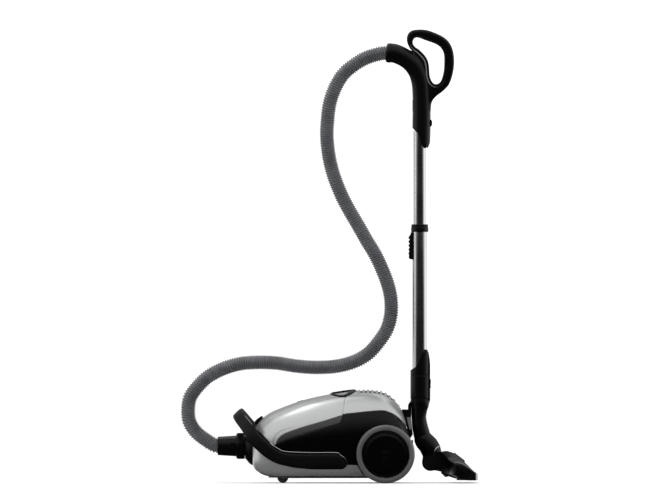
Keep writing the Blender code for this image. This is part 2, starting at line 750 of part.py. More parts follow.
def soften(obj, width):
    mod = obj.modifiers.new("Edge", "BEVEL")
    mod.width = width * MM
    mod.segments = 2
    mod.limit_method = "ANGLE"
    mod.angle_limit = math.radians(50)


def pipe(name, x, r_out, r_in, z0, z1, kind, steps=24):
    profile = [(r_out, z1 - z0), (r_out, 0), (r_in, 0), (r_in, z1 - z0)]
    return turned(name, profile, (x, 0, z0), "Z", kind, steps, True)


def wand():
    pipe("upper_tube", WAND_X, UPPER_R, 14.8, 392, 858, "tube_metal")
    pipe("lower_tube", WAND_X, LOWER_R, LOWER_BORE, 206, 618, "tube_metal")
    turned("telescope_collar",
           [(20.0, 18), (21.2, 16), (21.2, 0), (19.1, 0), (19.1, 6.5), (16.6, 6.5), (16.6, 18)],
           (WAND_X, 0, 612), "Z", "satin_black", 24, True)
    button_body()


def button_body():
    """Ridged slide on the front of the lower tube, on its own bed."""
    bed = [(WAND_X - 27, 548), (WAND_X - 22, 545), (WAND_X - 10, 545), (WAND_X - 10, 611.6),
           (WAND_X - 22, 611.6)]
    obj = prism("telescope_bed", bed, -11, 11, "satin_black")
    cut(obj, turned("bed_back", [(0, 90), (19.1, 90), (19.1, -20), (0, -20)],
                    (WAND_X, 0, 535), "Z", steps=24))
    cut(obj, box("bed_pocket", (140, WAND_X - 22.4), (-8.4, 8.4), (553, 620)))
    z = 557.0
    face = WAND_X - 27.2
    ridges = [(WAND_X - 22.8, 555), (face + 2, 555)]
    for k in range(5):
        base = z + 9.6 * k
        ridges += [(face, base), (face, base + 5), (face + 2.2, base + 6), (face + 2.2, base + 8.6)]
    ridges += [(face + 2.2, 605), (WAND_X - 22.8, 605)]
    prism("telescope_button", ridges, -8, 8, "gloss_black", origin=(WAND_X - 24, 0, 580))


# ---------------------------------------------------------------- floor tool

NECK = [
    # centre x, centre z, radius
    (175.5, 196.7, 22.4), (175.5, 192, 21.8), (174.5, 184, 20.2), (173.0, 170, 18.6),
    (173.0, 157, 18.0),
    (175.0, 140, 19.0), (179.5, 122, 20.5), (187.0, 103, 22.0), (195.5, 84, 22.5),
    (200.5, 66, 21.5), (201.0, 54, 19.0),
]
HEAD = [
    # x, z of the side outline in the middle of the tool, from the lower lip over the top
    (309, 7), (313.6, 9), (313.6, 22), (309, 26.5), (297, 38), (286, 49), (275, 59), (263, 69),
    (252, 75), (240, 78), (227, 76), (227, 22), (240, 17.5), (254, 13), (275, 7),
]
HEAD_SPAN = [
    # y, height of the top, x of the back
    (135, 0.42, 262), (130, 0.5, 257), (112, 0.56, 251), (84, 0.6, 247), (60, 0.68, 243),
    (46, 0.84, 236), (36, 1.0, 227),
]


def sleeve():
    outline = [(0, 130), (23.6, 130), (23.6, 2), (22.6, 0), (0, 0)]
    obj = turned("neck_sleeve", outline, (WAND_X + 0.7, 0, 197.2), "Z", "satin_black", 28)
    cut(obj, turned("sleeve_bore", [(0, 160), (19.1, 160), (19.1, -40), (0, -40)],
                    (WAND_X, 0, 206), "Z", steps=24))
    slant = [(140, 270), (150, 270), (202, 331), (202, 360), (140, 360)]
    cut(obj, prism("sleeve_slant", slant, -40, 40))
    hook = [(146.2, 161), (151.2, 161), (151.2, 198), (160, 206), (150, 206), (146.2, 196)]
    form = prism("sleeve_hook", hook, -9.2, 9.2)
    cut(obj, form, "UNION")
    cut(obj, turned("sleeve_clear", [(0, 60), (18.9, 60), (18.9, -10), (0, -10)],
                    (WAND_X, 0, 180), "Z", steps=24))
    cut(obj, box("latch_well", (195.2, 215), (-7.4, 7.4), (228.6, 255.4)))
    latch = [(196.5, 229), (199.6, 229), (202.2, 233), (202.2, 251), (199.6, 255), (196.5, 255)]
    prism("neck_latch_button", latch, -7, 7, "gloss_black", origin=(200.5, 0, 242))


def neck():
    rings = bent_rings(NECK, 20)
    obj = loft("neck_elbow", rings, "satin_black", smooth=40, origin=(WAND_X, 0, 190))
    barrel = turned("neck_barrel", [(0, 22), (19, 22), (BARREL_R, 20), (BARREL_R, -20),
                                    (19, -22), (0, -22)],
                    (PITCH_X, 0, PITCH_Z), "Y", steps=28)
    cut(obj, barrel, "UNION")
    bore = [(x, z, 14.5) for x, z, _ in NECK]
    bore[0] = (175.5, 205, 14.5)
    bore[-1] = (PITCH_X, 50, 14.5)
    bore.append((226.0, 44, 14.5))
    bore[-2] = (206.0, 52, 14.5)
    cut(obj, loft("neck_duct", bent_rings(bore, 16)))
    ring = [(25.4, 3), (25.4, -3), (22.9, -3), (22.9, 3)]
    band = turned("swivel_ring", ring, (0, 0, 0), "Z", "chrome_trim", 28, True)
    lean = math.atan2(195.5 - 187.0, 84.0 - 103.0)
    band.matrix_world = (Matrix.Translation(Vector((191.6, 0, 93.0)) * MM)
                         @ Matrix.Rotation(lean, 4, "Y"))


def head_ring(y, tall, back):
    ring = []
    scale = (313.6 - back) / (313.6 - 227.0)
    for x, z in HEAD:
        px = 313.6 - (313.6 - x) * scale
        pz = 22 + (z - 22) * tall if z > 22 else z
        ring.append((px, y, pz))
    return ring


def nozzle():
    left = [head_ring(-y, tall, back) for y, tall, back in HEAD_SPAN]
    right = [head_ring(y, tall, back) for y, tall, back in HEAD_SPAN[::-1]]
    pivot = (PITCH_X, 0, PITCH_Z)
    obj = loft("nozzle_body", left + right, "satin_black", origin=pivot, smooth=35)
    for side in (-1, 1):
        y = (22.5, 33.5) if side > 0 else (-33.5, -22.5)
        arm = [(PITCH_X + 17 * math.cos(t), PITCH_Z + 17 * math.sin(t))
               for t in [math.radians(90 + 18 * k) for k in range(11)]]
        arm += [(236, 26), (236, 70), (225, 72)]
        cut(obj, prism("nozzle_arm", arm, y[0], y[1]), "UNION")
    cut(obj, box("head_sole", (263.6, 306.4), (-122.4, 122.4), (0, 12.8)))
    cut(obj, box("head_channel", (276, 292), (-100, 100), (10, 24)))
    cut(obj, box("head_throat", (214, 284), (-15, 15), (20, 42)))
    cut(obj, box("head_brush", (294.4, 302.6), (-112, 112), (10, 22)))
    cut(obj, box("head_roller", (230.5, 247.5), (-11, 11), (0, 29.5)))
    cut(obj, pedal_form("head_pedal", 1.3, 3.2))
    floor_pedal = pedal_form("floor_pedal", 0.0, 0.0, "gloss_black")
    move_origin(floor_pedal, (270.5, 0, 61.5))
    sole = box("sole_plate", (264, 306), (-122, 122), (7.4, 12.4), "steel", origin=pivot)
    cut(sole, box("sole_slot", (277, 291), (-99, 99), (0, 20)))
    cut(sole, box("sole_brush", (294.8, 302.2), (-112, 112), (0, 20)))
    box("brush_strip", (295.4, 301.6), (-111, 111), (8.2, 15.4), "bristle", origin=(298.5, 0, 15))
    strip = [[(x, y, z) for x, z in ((313.9, 7.4), (314.8, 8.4), (314.8, 21.4), (313.9, 22))]
             for y in (-134, 134)]
    loft("nozzle_edge_strip", strip, "edge_rubber")
    turned("nozzle_roller", [(0, 10), (6, 10), (7, 9), (7, -9), (6, -10), (0, -10)],
           (239, 0, 21.0), "Y", "tyre_rubber", 20)


def pedal_form(name, grow, deep, kind=None):
    """Rocker plate that lies in the slope of the head's top."""
    along = Vector((286.0 - 255.0, 0, 49.0 - 73.2)).normalized()
    up = Vector((-along.z, 0, along.x))
    mid = Vector((270.5, 0, 61.5)) + up * 0.6
    reach, thick = 17.0 + grow, 2.2
    corners = [(-reach, thick), (reach, thick), (reach, -thick - deep), (-reach, -thick - deep)]
    if kind is None:
        corners = [(-reach, 9), (reach, 9), (reach, -thick - deep), (-reach, -thick - deep)]
    outline = []
    for a, b in corners:
        p = mid + along * a + up * b
        outline.append((p.x, p.z))
    half = 28 + grow
    return prism(name, outline, -half, half, kind)


# ---------------------------------------------------------------- assembly

clear_scene()
PARTS = new_collection("canister_vacuum_cleaner")
CUTTERS = new_collection("cutters")

lid()
rear_cover()
side_panel("side_panel_near", -1)
side_panel("side_panel_far", 1)
lower_tub()
front_panel()
rear_panel()
console()
bag_indicator()
exhaust_grille()
lid_latch()
bumper()
chrome_trim("chrome_trim_near", -1)
chrome_trim("chrome_trim_far", 1)
inlet_collar()
parking_bracket()
cord_outlet()
rear_wheel(-1, "near")
rear_wheel(1, "far")
caster()
insides()
hose()
hose_collar()
handle()
wand()
sleeve()
neck()
nozzle()
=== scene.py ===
"""Looks of the canister vacuum cleaner: fine shells, hose, handle, floor tool and materials.

Lengths are millimetres in this script and metres in Blender. The frame's axes are the part's:
+X is the rear of the canister, the hose inlet is at -X and the near side is -Y.
"""

import json
import math

import bmesh
import bpy
import numpy as np
from mathutils import Matrix, Vector

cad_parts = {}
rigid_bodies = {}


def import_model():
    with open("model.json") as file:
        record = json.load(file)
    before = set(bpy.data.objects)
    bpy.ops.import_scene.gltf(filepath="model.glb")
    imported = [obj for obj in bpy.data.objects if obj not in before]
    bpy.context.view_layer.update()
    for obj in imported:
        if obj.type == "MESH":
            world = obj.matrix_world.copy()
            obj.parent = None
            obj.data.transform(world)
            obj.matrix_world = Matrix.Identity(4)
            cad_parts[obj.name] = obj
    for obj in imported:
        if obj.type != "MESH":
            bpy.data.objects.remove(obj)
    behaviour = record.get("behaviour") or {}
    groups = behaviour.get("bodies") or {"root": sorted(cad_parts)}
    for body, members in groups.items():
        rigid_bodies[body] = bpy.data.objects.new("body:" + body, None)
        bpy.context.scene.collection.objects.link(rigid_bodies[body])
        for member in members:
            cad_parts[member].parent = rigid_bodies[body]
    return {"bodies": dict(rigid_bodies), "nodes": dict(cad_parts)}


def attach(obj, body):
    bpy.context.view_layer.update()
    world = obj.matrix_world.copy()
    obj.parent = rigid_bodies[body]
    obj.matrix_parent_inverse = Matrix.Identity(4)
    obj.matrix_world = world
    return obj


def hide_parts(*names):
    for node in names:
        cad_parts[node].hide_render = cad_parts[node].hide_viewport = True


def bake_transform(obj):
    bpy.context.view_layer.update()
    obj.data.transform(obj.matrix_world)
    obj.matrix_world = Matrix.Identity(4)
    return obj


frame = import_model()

MM = 0.001
GAP = 0.4                                  # seam between neighbouring pieces
SIDES = ((-1, "near"), (1, "far"))

for extra in list(bpy.data.objects):
    if extra not in frame["nodes"].values() and extra not in frame["bodies"].values():
        bpy.data.objects.remove(extra)
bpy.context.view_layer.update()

# ---------------------------------------------------------------- sizes shared with the part

BODY = [
    # x, half width, top, underside
    (-232, 72, 118, 42), (-227, 82, 134, 33), (-218, 91, 148, 26), (-206, 98, 160, 20),
    (-190, 105, 171, 16), (-170, 111, 180, 13.5), (-142, 116.5, 191, 12), (-112, 120.5, 201, 12),
    (-81, 122, 209, 12), (-40, 120, 217, 12), (-5, 116.5, 222.5, 12), (22, 114.5, 225, 12),
    (46, 114, 226, 12), (68, 114, 224.5, 12), (88, 113.5, 220, 13), (106, 112.5, 209, 15),
    (120, 110, 194, 18), (135, 105, 168, 24), (144, 98, 134, 31), (152, 86, 102, 42),
    (155, 76, 88, 52),
]
WAIST = 78.0
CROWN = 2.4
KEEL = 4.5

WHEEL_X, WHEEL_R = 91.0, 71.0
CASTER_X, CASTER_TRAIL, CASTER_R = -168.0, 9.0, 14.0

INLET_Z = 90.0
HOSE_R = 18.3
HOSE_LINE = [
    (-314.8, 90.0), (-323.0, 91.4), (-331.5, 95.2), (-341.4, 101.2), (-369.4, 122.7),
    (-386.3, 148.8), (-389.9, 178.4), (-385.0, 207.6), (-367.7, 233.5), (-341.8, 258.4),
    (-305.2, 277.9), (-264.7, 290.1), (-221.1, 293.8), (-173.5, 292.1), (-124.7, 284.7),
    (-75.9, 281.6), (-27.1, 284.7), (14.4, 295.7), (47.3, 314.0), (70.5, 338.4), (93.7, 372.6),
    (104.2, 409.2), (104.7, 445.8), (97.4, 482.4), (83.9, 519.0), (66.9, 555.6), (44.9, 592.2),
    (24.2, 628.8), (2.5, 666.0), (-16.1, 702.0), (-34.4, 748.3), (-45.9, 793.5), (-51.5, 842.3),
    (-50.3, 880.1), (-45.4, 921.6), (-34.4, 957.0), (-14.9, 992.3), (9.5, 1015.5),
    (41.5, 1035.3), (75.2, 1046.2), (97.8, 1048.9),
]
HOSE_SPLIT = 46 / 83

WAND_X = 174.8
UPPER_R, LOWER_R = 16.0, 18.7
STEM = [
    # centre x, centre z, radius
    (178.5, 818.0, 21.0), (178.8, 850.0, 22.3), (179.4, 900.0, 22.2), (179.0, 940.0, 21.8),
    (177.0, 972.0, 21.8), (171.0, 998.0, 22.2), (160.0, 1018.0, 22.8), (144.0, 1033.0, 22.6),
    (124.0, 1043.2, 22.3), (111.5, 1047.9, 21.9), (104.8, 1048.4, 21.6),
]
CUFF_LEAN = math.radians(-86)
GRIP_OUTER = [
    (170, 1052), (156, 1054), (147, 1067), (143, 1082), (147, 1096), (158, 1104), (184, 1105.5),
    (206, 1100), (232, 1088), (247, 1074), (256, 1054), (259, 1028), (256, 1000), (247, 973),
    (232, 956), (215, 943), (204, 928), (199, 905), (186, 905), (186, 960), (182, 1000),
]
GRIP_INNER = [
    (167, 1086), (159, 1078), (161, 1067), (176, 1054), (191, 1038), (198, 1019), (200, 993),
    (206, 978), (214, 973), (225, 979), (232, 1000), (234, 1026), (232, 1050), (219, 1067),
    (189, 1079),
]
PITCH_X, PITCH_Z, BARREL_R = 201.0, 49.5, 20.5

# side-view outlines of the shell's pieces (x, z)
SEAM = [(-5, 212), (-11, 185), (-13, 168), (-16, 154), (-20, 146)]
LID_EDGE = [(-20, 146), (-81, 127), (-146, 107), (-173, 95), (-184, 92)]
REAR_EDGE = [(-13, 168), (32, 173), (79, 177), (97, 174), (116, 165), (133, 150), (144, 134)]
WAIST_LINE = [(-184, 68), (-147, 56), (-20, 51), (-3, 45), (22, 44)]
OVAL_X, OVAL_A, OVAL_B = -12.0, 33.0, 58.0
GRILLE = (24.0, 127.0, 48.0)
INDICATOR = (-125.0, -109.0, 12.0)


# ---------------------------------------------------------------- lines and sections

def unit(rows):
    return rows / np.linalg.norm(rows, axis=1)[:, None]


def travel(line):
    """Distance along a polyline at each of its points."""
    return np.r_[0, np.cumsum(np.linalg.norm(np.diff(line, axis=0), axis=1))]


def eased(line, rounds):
    """A line with its small steps smoothed out, its ends kept."""
    for _ in range(rounds):
        line[1:-1] = (line[:-2] + line[1:-1] * 2 + line[2:]) / 4
    return line


def full_turn(count, shift=0.0):
    """Angles of `count` points round a full turn."""
    return 2 * math.pi * (np.arange(count) + shift) / count


def signed_power(value, power):
    return np.sign(value) * np.abs(value) ** power


def steps_from_ends(count):
    return np.minimum(np.arange(count), np.arange(count)[::-1])


def tapered(width, count, start):
    """Radii of a strip that thins out towards both ends."""
    return width * np.sin(np.linspace(start, math.pi - start, count)) ** 0.5


def curve_through(points, count, closed=False):
    """`count` evenly spread points on a smooth curve through points of any dimension."""
    p = np.array(points, float)
    ahead = np.roll(p, -1, 0)
    if closed:
        before, after, far = np.roll(p, 1, 0), ahead, np.roll(p, -2, 0)
    else:
        before = np.vstack([p[:1], p[:-1]])[:-1]
        after = p[1:]
        far = np.vstack([p[2:], p[-1:]])
        p = p[:-1]
    t = np.linspace(0, 1, 24, endpoint=False)[None, :, None]
    p0, p1, p2, p3 = (q[:, None, :] for q in (before, p, after, far))
    dense = 0.5 * (2 * p1 + (p2 - p0) * t + (2 * p0 - 5 * p1 + 4 * p2 - p3) * t ** 2
                   + (p1 * 3 - p0 - 3 * p2 + p3) * t ** 3)
    dense = dense.reshape(-1, dense.shape[-1])
    dense = np.vstack([dense, dense[:1] if closed else np.array(points[-1:], float)])
    return spread(dense, count, closed)


def spread(line, count, closed=False):
    """The same polyline with `count` evenly spaced points."""
    line = np.asarray(line, float)
    reach = travel(line)
    want = np.linspace(0, reach[-1], count, endpoint=not closed)
    return np.stack([np.interp(want, reach, line[:, k]) for k in range(line.shape[1])], 1)


def rounded(points, radius, steps=4):
    """A closed outline with each corner turned into a small arc."""
    p = [np.array(q, float) for q in points]
    out = []
    n = len(p)
    for i, b in enumerate(p):
        a, c = p[i - 1], p[(i + 1) % n]
        ua, uc = a - b, c - b
        la, lc = np.linalg.norm(ua), np.linalg.norm(uc)
        d = min(radius, 0.45 * la, 0.45 * lc)
        start, end = b + ua / la * d, b + uc / lc * d
        for t in np.linspace(0, 1, steps + 1):
            out.append(start * (1 - t) ** 2 + 2 * b * t * (1 - t) + end * t ** 2)
    return np.array(out)


def offset(outline, by):
    """A closed side-view outline moved inward by `by`, or outward when it is negative."""
    p = np.asarray(outline, float)
    q = np.roll(p, -1, 0)
    side = np.sign(np.sum(p[:, 0] * q[:, 1] - q[:, 0] * p[:, 1]))
    run = unit(q - p)
    normal = np.stack([-run[:, 1], run[:, 0]], 1) * side
    back = np.roll(normal, 1, 0)
    k = by / np.maximum(0.4, 1 + np.sum(back * normal, 1))
    return p + (back + normal) * k[:, None]


def ellipse(cx, cy, a, b, count=96):
    turn = full_turn(count)
    return np.stack([cx + a * np.cos(turn), cy + b * np.sin(turn)], 1)


# ---------------------------------------------------------------- meshes

def raw_mesh(name, verts, faces):
    mesh = bpy.data.meshes.new(name)
    points = (np.asarray(verts, float) * MM).tolist()
    mesh.from_pydata(points, [], [list(map(int, f)) for f in faces])
    work = bmesh.new()
    work.from_mesh(mesh)
    bmesh.ops.remove_doubles(work, verts=work.verts, dist=2e-6)
    bmesh.ops.dissolve_degenerate(work, edges=work.edges, dist=1e-6)
    bmesh.ops.recalc_face_normals(work, faces=work.faces)
    work.to_mesh(mesh)
    work.free()
    return mesh


def piece(name, shape, body, look, stands_for=(), angle=35.0):
    """A shown piece from (verts, faces) or a ready mesh: it rides on a body in a named finish."""
    mesh = shape if isinstance(shape, bpy.types.Mesh) else raw_mesh(name, *shape)
    mesh.name = name
    mesh.shade_smooth()
    mesh.set_sharp_from_angle(angle=math.radians(angle))
    mesh.materials.clear()
    mesh.materials.append(LOOKS[look])
    for poly in mesh.polygons:
        poly.material_index = 0
    obj = bpy.data.objects.new(name, mesh)
    bpy.context.scene.collection.objects.link(obj)
    if body:
        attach(obj, body)
    if stands_for:
        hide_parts(*([stands_for] if isinstance(stands_for, str) else stands_for))
    return obj


def rings_shape(rings, ends=True, around=True):
    """Quads between equal rings, with end faces when `ends` is set."""
    rings = np.asarray(rings, float)
    m, n = rings.shape[:2]
    i, k = np.meshgrid(np.arange(m - 1), np.arange(n if around else n - 1), indexing="ij")
    a, b = i * n + k, i * n + (k + 1) % n
    faces = np.stack([a, a + n, b + n, b], -1).reshape(-1, 4).tolist()
    if ends:
        faces.append(list(range(n)))
        faces.append(list(range(m * n - 1, m * n - n - 1, -1)))
    return rings.reshape(-1, 3), faces


def prism_shape(outline, y0, y1):
    """A solid from an (x, z) outline between two y values."""
    rings = [[(x, y, z) for x, z in outline] for y in (y0, y1)]
    return rings_shape(rings)


def column_shape(outline, z0, z1):
    """A solid from an (x, y) outline between two heights."""
    rings = [[(x, y, z) for x, y in outline] for z in (z0, z1)]
    return rings_shape(rings)


def box_shape(x, y, z):
    return prism_shape([(x[0], z[0]), (x[1], z[0]), (x[1], z[1]), (x[0], z[1])], *y)


def frame_of(axis, centre, lean=0.0):
    """Maps (across, across, along) to the row frame for an axis X, Y or Z."""
    turn = {"X": Matrix.Rotation(math.pi / 2, 3, "Y"), "Y": Matrix.Rotation(-math.pi / 2, 3, "X"),
            "Z": Matrix.Identity(3)}[axis]
    turn = Matrix.Rotation(lean, 3, "Y") @ turn
    return np.array(turn), np.array(centre, float)


def lathe_shape(profile, centre, axis, steps=96, soft=0.6, lean=0.0):
    """A closed profile of (radius, height) turned about an axis, its corners rounded."""
    profile = rounded(profile, soft)
    profile[:, 0] = np.maximum(profile[:, 0], 0)
    turn = full_turn(steps)
    r, height = (profile[:, None, k] * np.ones(steps) for k in (0, 1))
    local = np.stack([r * np.cos(turn), r * np.sin(turn), height], -1)
    rot, at = frame_of(axis, centre, lean)
    rings = local @ rot.T + at
    return rings_shape(np.concatenate([rings, rings[:1]]), ends=False)


def joined(*shapes):
    verts, faces = [], []
    for v, f in shapes:
        base = len(verts)
        verts.extend(np.asarray(v, float).tolist())
        faces.extend([[q + base for q in face] for face in f])
    return verts, faces


def soft_edges(obj, width, segments=3, angle=40):
    mod = obj.modifiers.new("edges", "BEVEL")
    mod.width = width * MM
    mod.segments = segments
    mod.limit_method = "ANGLE"
    mod.angle_limit = math.radians(angle)
    mod.harden_normals = True
    return obj


def block(name, outline, half, body, look, stands_for, soft, segments=3):
    """A soft-edged solid from an (x, z) outline, reaching `half` to both sides."""
    shape = prism_shape(outline, -half, half)
    return soft_edges(piece(name, shape, body, look, stands_for), soft, segments)


def carve(shape, *cutters):
    """A mesh with cutters taken off by exact Booleans; cut faces carry material index 1.

    A cutter written as (mode, shape) is used with that Boolean mode instead.
    """
    mesh = shape if isinstance(shape, bpy.types.Mesh) else raw_mesh("work", *shape)
    obj = bpy.data.objects.new("work", mesh)
    bpy.context.scene.collection.objects.link(obj)
    tools = []
    for _ in range(2):
        mesh.materials.append(None)
    for cutter in cutters:
        mode = "DIFFERENCE"
        if isinstance(cutter, tuple) and isinstance(cutter[0], str):
            mode, cutter = cutter
        tool_mesh = raw_mesh("tool", *cutter)
        for _ in range(2):
            tool_mesh.materials.append(None)
        for poly in tool_mesh.polygons:
            poly.material_index = 1
        tool = bpy.data.objects.new("tool", tool_mesh)
        bpy.context.scene.collection.objects.link(tool)
        mod = obj.modifiers.new("cut", "BOOLEAN")
        mod.operation = mode
        mod.solver = "EXACT"
        mod.object = tool
        tools.append(tool)
    graph = bpy.context.evaluated_depsgraph_get()
    done = bpy.data.meshes.new_from_object(obj.evaluated_get(graph))
    for used in [obj] + tools:
        bpy.data.objects.remove(used)
    return done


# ---------------------------------------------------------------- canister body form

def body_size(x):
    """Half width, top and underside along the body, as one smooth curve through BODY."""
    table = np.array(BODY, float)
    xs = table[:, 0]
    step = np.diff(xs)[:, None]
    slope = np.diff(table[:, 1:], axis=0) / step
    lean = np.vstack([slope[:1], (slope[1:] + slope[:-1]) / 2, slope[-1:]])
    i = np.clip(np.searchsorted(xs, x, side="right") - 1, 0, len(xs) - 2)
    h = step[i, 0]
    t = np.clip((x - xs[i]) / h, 0, 1)[..., None]
    h = h[..., None]
    a, b = table[i, 1:], table[i + 1, 1:]
    return (a * (1 + 2 * t) * (1 - t) ** 2 + lean[i] * h * t * (1 - t) ** 2
            + b * t * t * (3 - 2 * t) + lean[i + 1] * h * t * t * (t - 1))


def body_y(x, z):
    wide, top, under = body_size(np.asarray(float(x)))
    if z > WAIST:
        return wide * (1 - min(1, (z - WAIST) / (top - WAIST)) ** CROWN) ** (1 / CROWN)
    return wide * (1 - min(1, (WAIST - z) / (WAIST - under)) ** KEEL) ** (1 / KEEL)


def body_rings(xs, inset, sides, lowest=-math.inf):
    """Sections of the body form moved inward by `inset`, with an optional flat floor height."""
    xs = np.asarray(xs, float)
    wide, top, under = (body_size(xs) + (-inset, -inset, inset)).T[:, :, None]
    under = np.maximum(under, lowest)
    turn = full_turn(sides, 0.5)
    c, s = np.cos(turn), np.sin(turn)
    n = np.where(s > 0, CROWN, KEEL)
    y = wide * signed_power(c, 2 / n)
    z = WAIST + np.where(s > 0, top - WAIST, WAIST - under) * signed_power(s, 2 / n)
    return np.stack([np.broadcast_to(xs[:, None], y.shape), y, z], -1)


def body_shape(inset=0.0, sides=144):
    """The closed body form, finer than the part's and moved inward by `inset`."""
    first, last = BODY[0][0] + inset, BODY[-1][0] - inset
    xs = np.unique(np.r_[np.linspace(first, -200, 14), np.linspace(-200, 100, 76),
                         np.linspace(100, last, 26)])
    return rings_shape(body_rings(xs, inset, sides))


def skin(surface, depth=3.0, edge=0.8):
    """A closed shell from an open surface: rounded rim, wall and inner side."""
    count = len(surface.vertices)
    verts = np.empty(count * 3)
    surface.vertices.foreach_get("co", verts)
    verts = verts.reshape(-1, 3) / MM
    normals = np.array([tuple(v.vector) for v in surface.vertex_normals])
    faces = [tuple(p.vertices) for p in surface.polygons]
    used = {}
    for face in faces:
        for a, b in zip(face, face[1:] + face[:1]):
            used[(a, b)] = used.get((a, b), 0) + 1
    rim = [e for e in used if (e[1], e[0]) not in used]
    ids = sorted({v for e in rim for v in e})
    place = {v: k for k, v in enumerate(ids)}
    out = np.zeros((len(ids), 3))
    for a, b in rim:
        push = np.cross(verts[b] - verts[a], normals[a] + normals[b])
        out[place[a]] += push
        out[place[b]] += push
    out -= normals[ids] * np.sum(out * normals[ids], 1)[:, None]
    out /= np.maximum(np.linalg.norm(out, axis=1), 1e-9)[:, None]
    base, n = verts[ids], normals[ids]
    rows = [base + out * edge * math.sin(a) - n * edge * (1 - math.cos(a))
            for a in np.radians([22.5, 45, 67.5, 90])]
    rows.append(base + out * edge - n * depth)
    m = len(ids)
    everything = np.vstack([verts] + rows + [verts - normals * depth])
    inner = count + m * len(rows)
    for a, b in rim:
        line_a = [a] + [count + m * k + place[a] for k in range(len(rows))] + [inner + a]
        line_b = [b] + [count + m * k + place[b] for k in range(len(rows))] + [inner + b]
        for k in range(len(line_a) - 1):
            faces.append((line_b[k], line_a[k], line_a[k + 1], line_b[k + 1]))
    inner_faces = [tuple(inner + v for v in f[::-1]) for f in faces[:len(surface.polygons)]]
    return everything, faces + inner_faces


def open_surface(mesh, merge=0.12):
    """What is left of the body's own surface after cuts, without the cut faces."""
    work = bmesh.new()
    work.from_mesh(mesh)
    cuts = [f for f in work.faces if f.material_index == 1]
    bmesh.ops.delete(work, geom=cuts, context="FACES")
    bmesh.ops.remove_doubles(work, verts=work.verts, dist=merge * MM)
    bmesh.ops.dissolve_degenerate(work, edges=work.edges, dist=merge * MM)
    loose = [v for v in work.verts if not v.link_faces]
    bmesh.ops.delete(work, geom=loose, context="VERTS")
    work.to_mesh(mesh)
    work.free()
    return mesh


def panel(outline, cutters=(), y=(-200, 200), inset=0.0, depth=3.0, edge=0.8, plan=False):
    """A shell panel: the body's surface inside an outline, less the cutters."""
    line = offset(outline, GAP / 2 + edge)
    field = column_shape(line, 100, 260) if plan else prism_shape(line, y[0], y[1])
    form = carve(body_shape(inset), ("INTERSECT", field), *cutters)
    return skin(open_surface(form), depth, edge)


# ---------------------------------------------------------------- blended solids

def surface_net(field, low, high, step):
    """Quads on the zero surface of field(x, y, z), with points moved onto the surface."""
    axes = [np.arange(a - step, b + 2 * step, step) for a, b in zip(low, high)]
    x, y, z = axes[0][:, None, None], axes[1][None, :, None], axes[2][None, None, :]
    f = np.broadcast_to(field(x, y, z), tuple(len(a) for a in axes))
    inside = f < 0
    cells = tuple(n - 1 for n in f.shape)
    total, count = np.zeros(cells + (3,)), np.zeros(cells)

    def part(values, corner):
        return values[tuple(slice(c, c + n) for c, n in zip(corner, cells))]

    for axis in range(3):
        for b in (0, 1):
            for c in (0, 1):
                start = [b, c]
                start.insert(axis, 0)
                end = list(start)
                end[axis] = 1
                v0, v1 = part(f, start), part(f, end)
                cross = (v0 < 0) != (v1 < 0)
                t = np.where(cross, v0 / np.where(cross, v0 - v1, 1), 0)
                spot = np.array(start, float) * cross[..., None]
                spot[..., axis] += t
                total += spot
                count += cross
    shown = count > 0
    index = -np.ones(cells, int)
    index[shown] = np.arange(int(shown.sum()))
    origin = np.array([a[0] for a in axes])
    at = np.argwhere(shown) + total[shown] / count[shown][:, None]
    verts = origin + at * step
    quads = []
    for axis in range(3):
        u, v = [q for q in range(3) if q != axis]
        low_in = np.take(inside, range(f.shape[axis] - 1), axis)
        high_in = np.take(inside, range(1, f.shape[axis]), axis)
        spots = np.argwhere(low_in != high_in)
        spots = spots[(spots[:, u] > 0) & (spots[:, v] > 0)]
        spots = spots[(spots[:, u] < cells[u]) & (spots[:, v] < cells[v])]
        corners = []
        for du, dv in ((0, 0), (1, 0), (1, 1), (0, 1)):
            cell = spots.copy()
            cell[:, u] -= du
            cell[:, v] -= dv
            corners.append(index[tuple(cell.T)])
        quads.append(np.stack(corners, 1))
    for _ in range(3):
        verts -= slope_step(field, verts)
    return verts, np.concatenate(quads)


def slope_step(field, verts):
    """Newton's step from each point to the field's zero surface, kept short."""
    h = 0.05
    here = field(*verts.T)
    slope = np.stack([(field(*(verts + h * d).T) - field(*(verts - h * d).T)) / (2 * h)
                      for d in np.eye(3)], 1)
    move = slope * (here / np.maximum(np.sum(slope ** 2, 1), 0.2))[:, None]
    size = np.linalg.norm(move, axis=1)[:, None]
    return move * np.minimum(1, 0.5 / np.maximum(size, 1e-9))


def outline_distance(x, z, outline):
    """Signed distance from an (x, z) outline, negative inside."""
    line = np.asarray(outline, float)
    shape = np.broadcast(x, z).shape
    gap, inside = np.full(shape, 1e9), np.zeros(shape, bool)
    for (ax, az), (bx, bz) in zip(line, np.roll(line, -1, 0)):
        ex, ez = bx - ax, bz - az
        t = np.clip(((x - ax) * ex + (z - az) * ez) / (ex * ex + ez * ez + 1e-12), 0, 1)
        gap = np.minimum(gap, np.hypot(x - ax - t * ex, z - az - t * ez))
        crossing = ((az > z) != (bz > z)) & (x < ex * (z - az) / (ez + 1e-12) + ax)
        inside = inside ^ crossing
    return np.where(inside, -gap, gap)


def rounded_slab(flat, y, half, radius):
    """A flat distance drawn out to |y| < half with round edges."""
    u, v = flat + radius, np.abs(y) - half + radius
    return np.minimum(np.maximum(u, v), 0) + np.hypot(np.maximum(u, 0), np.maximum(v, 0)) - radius


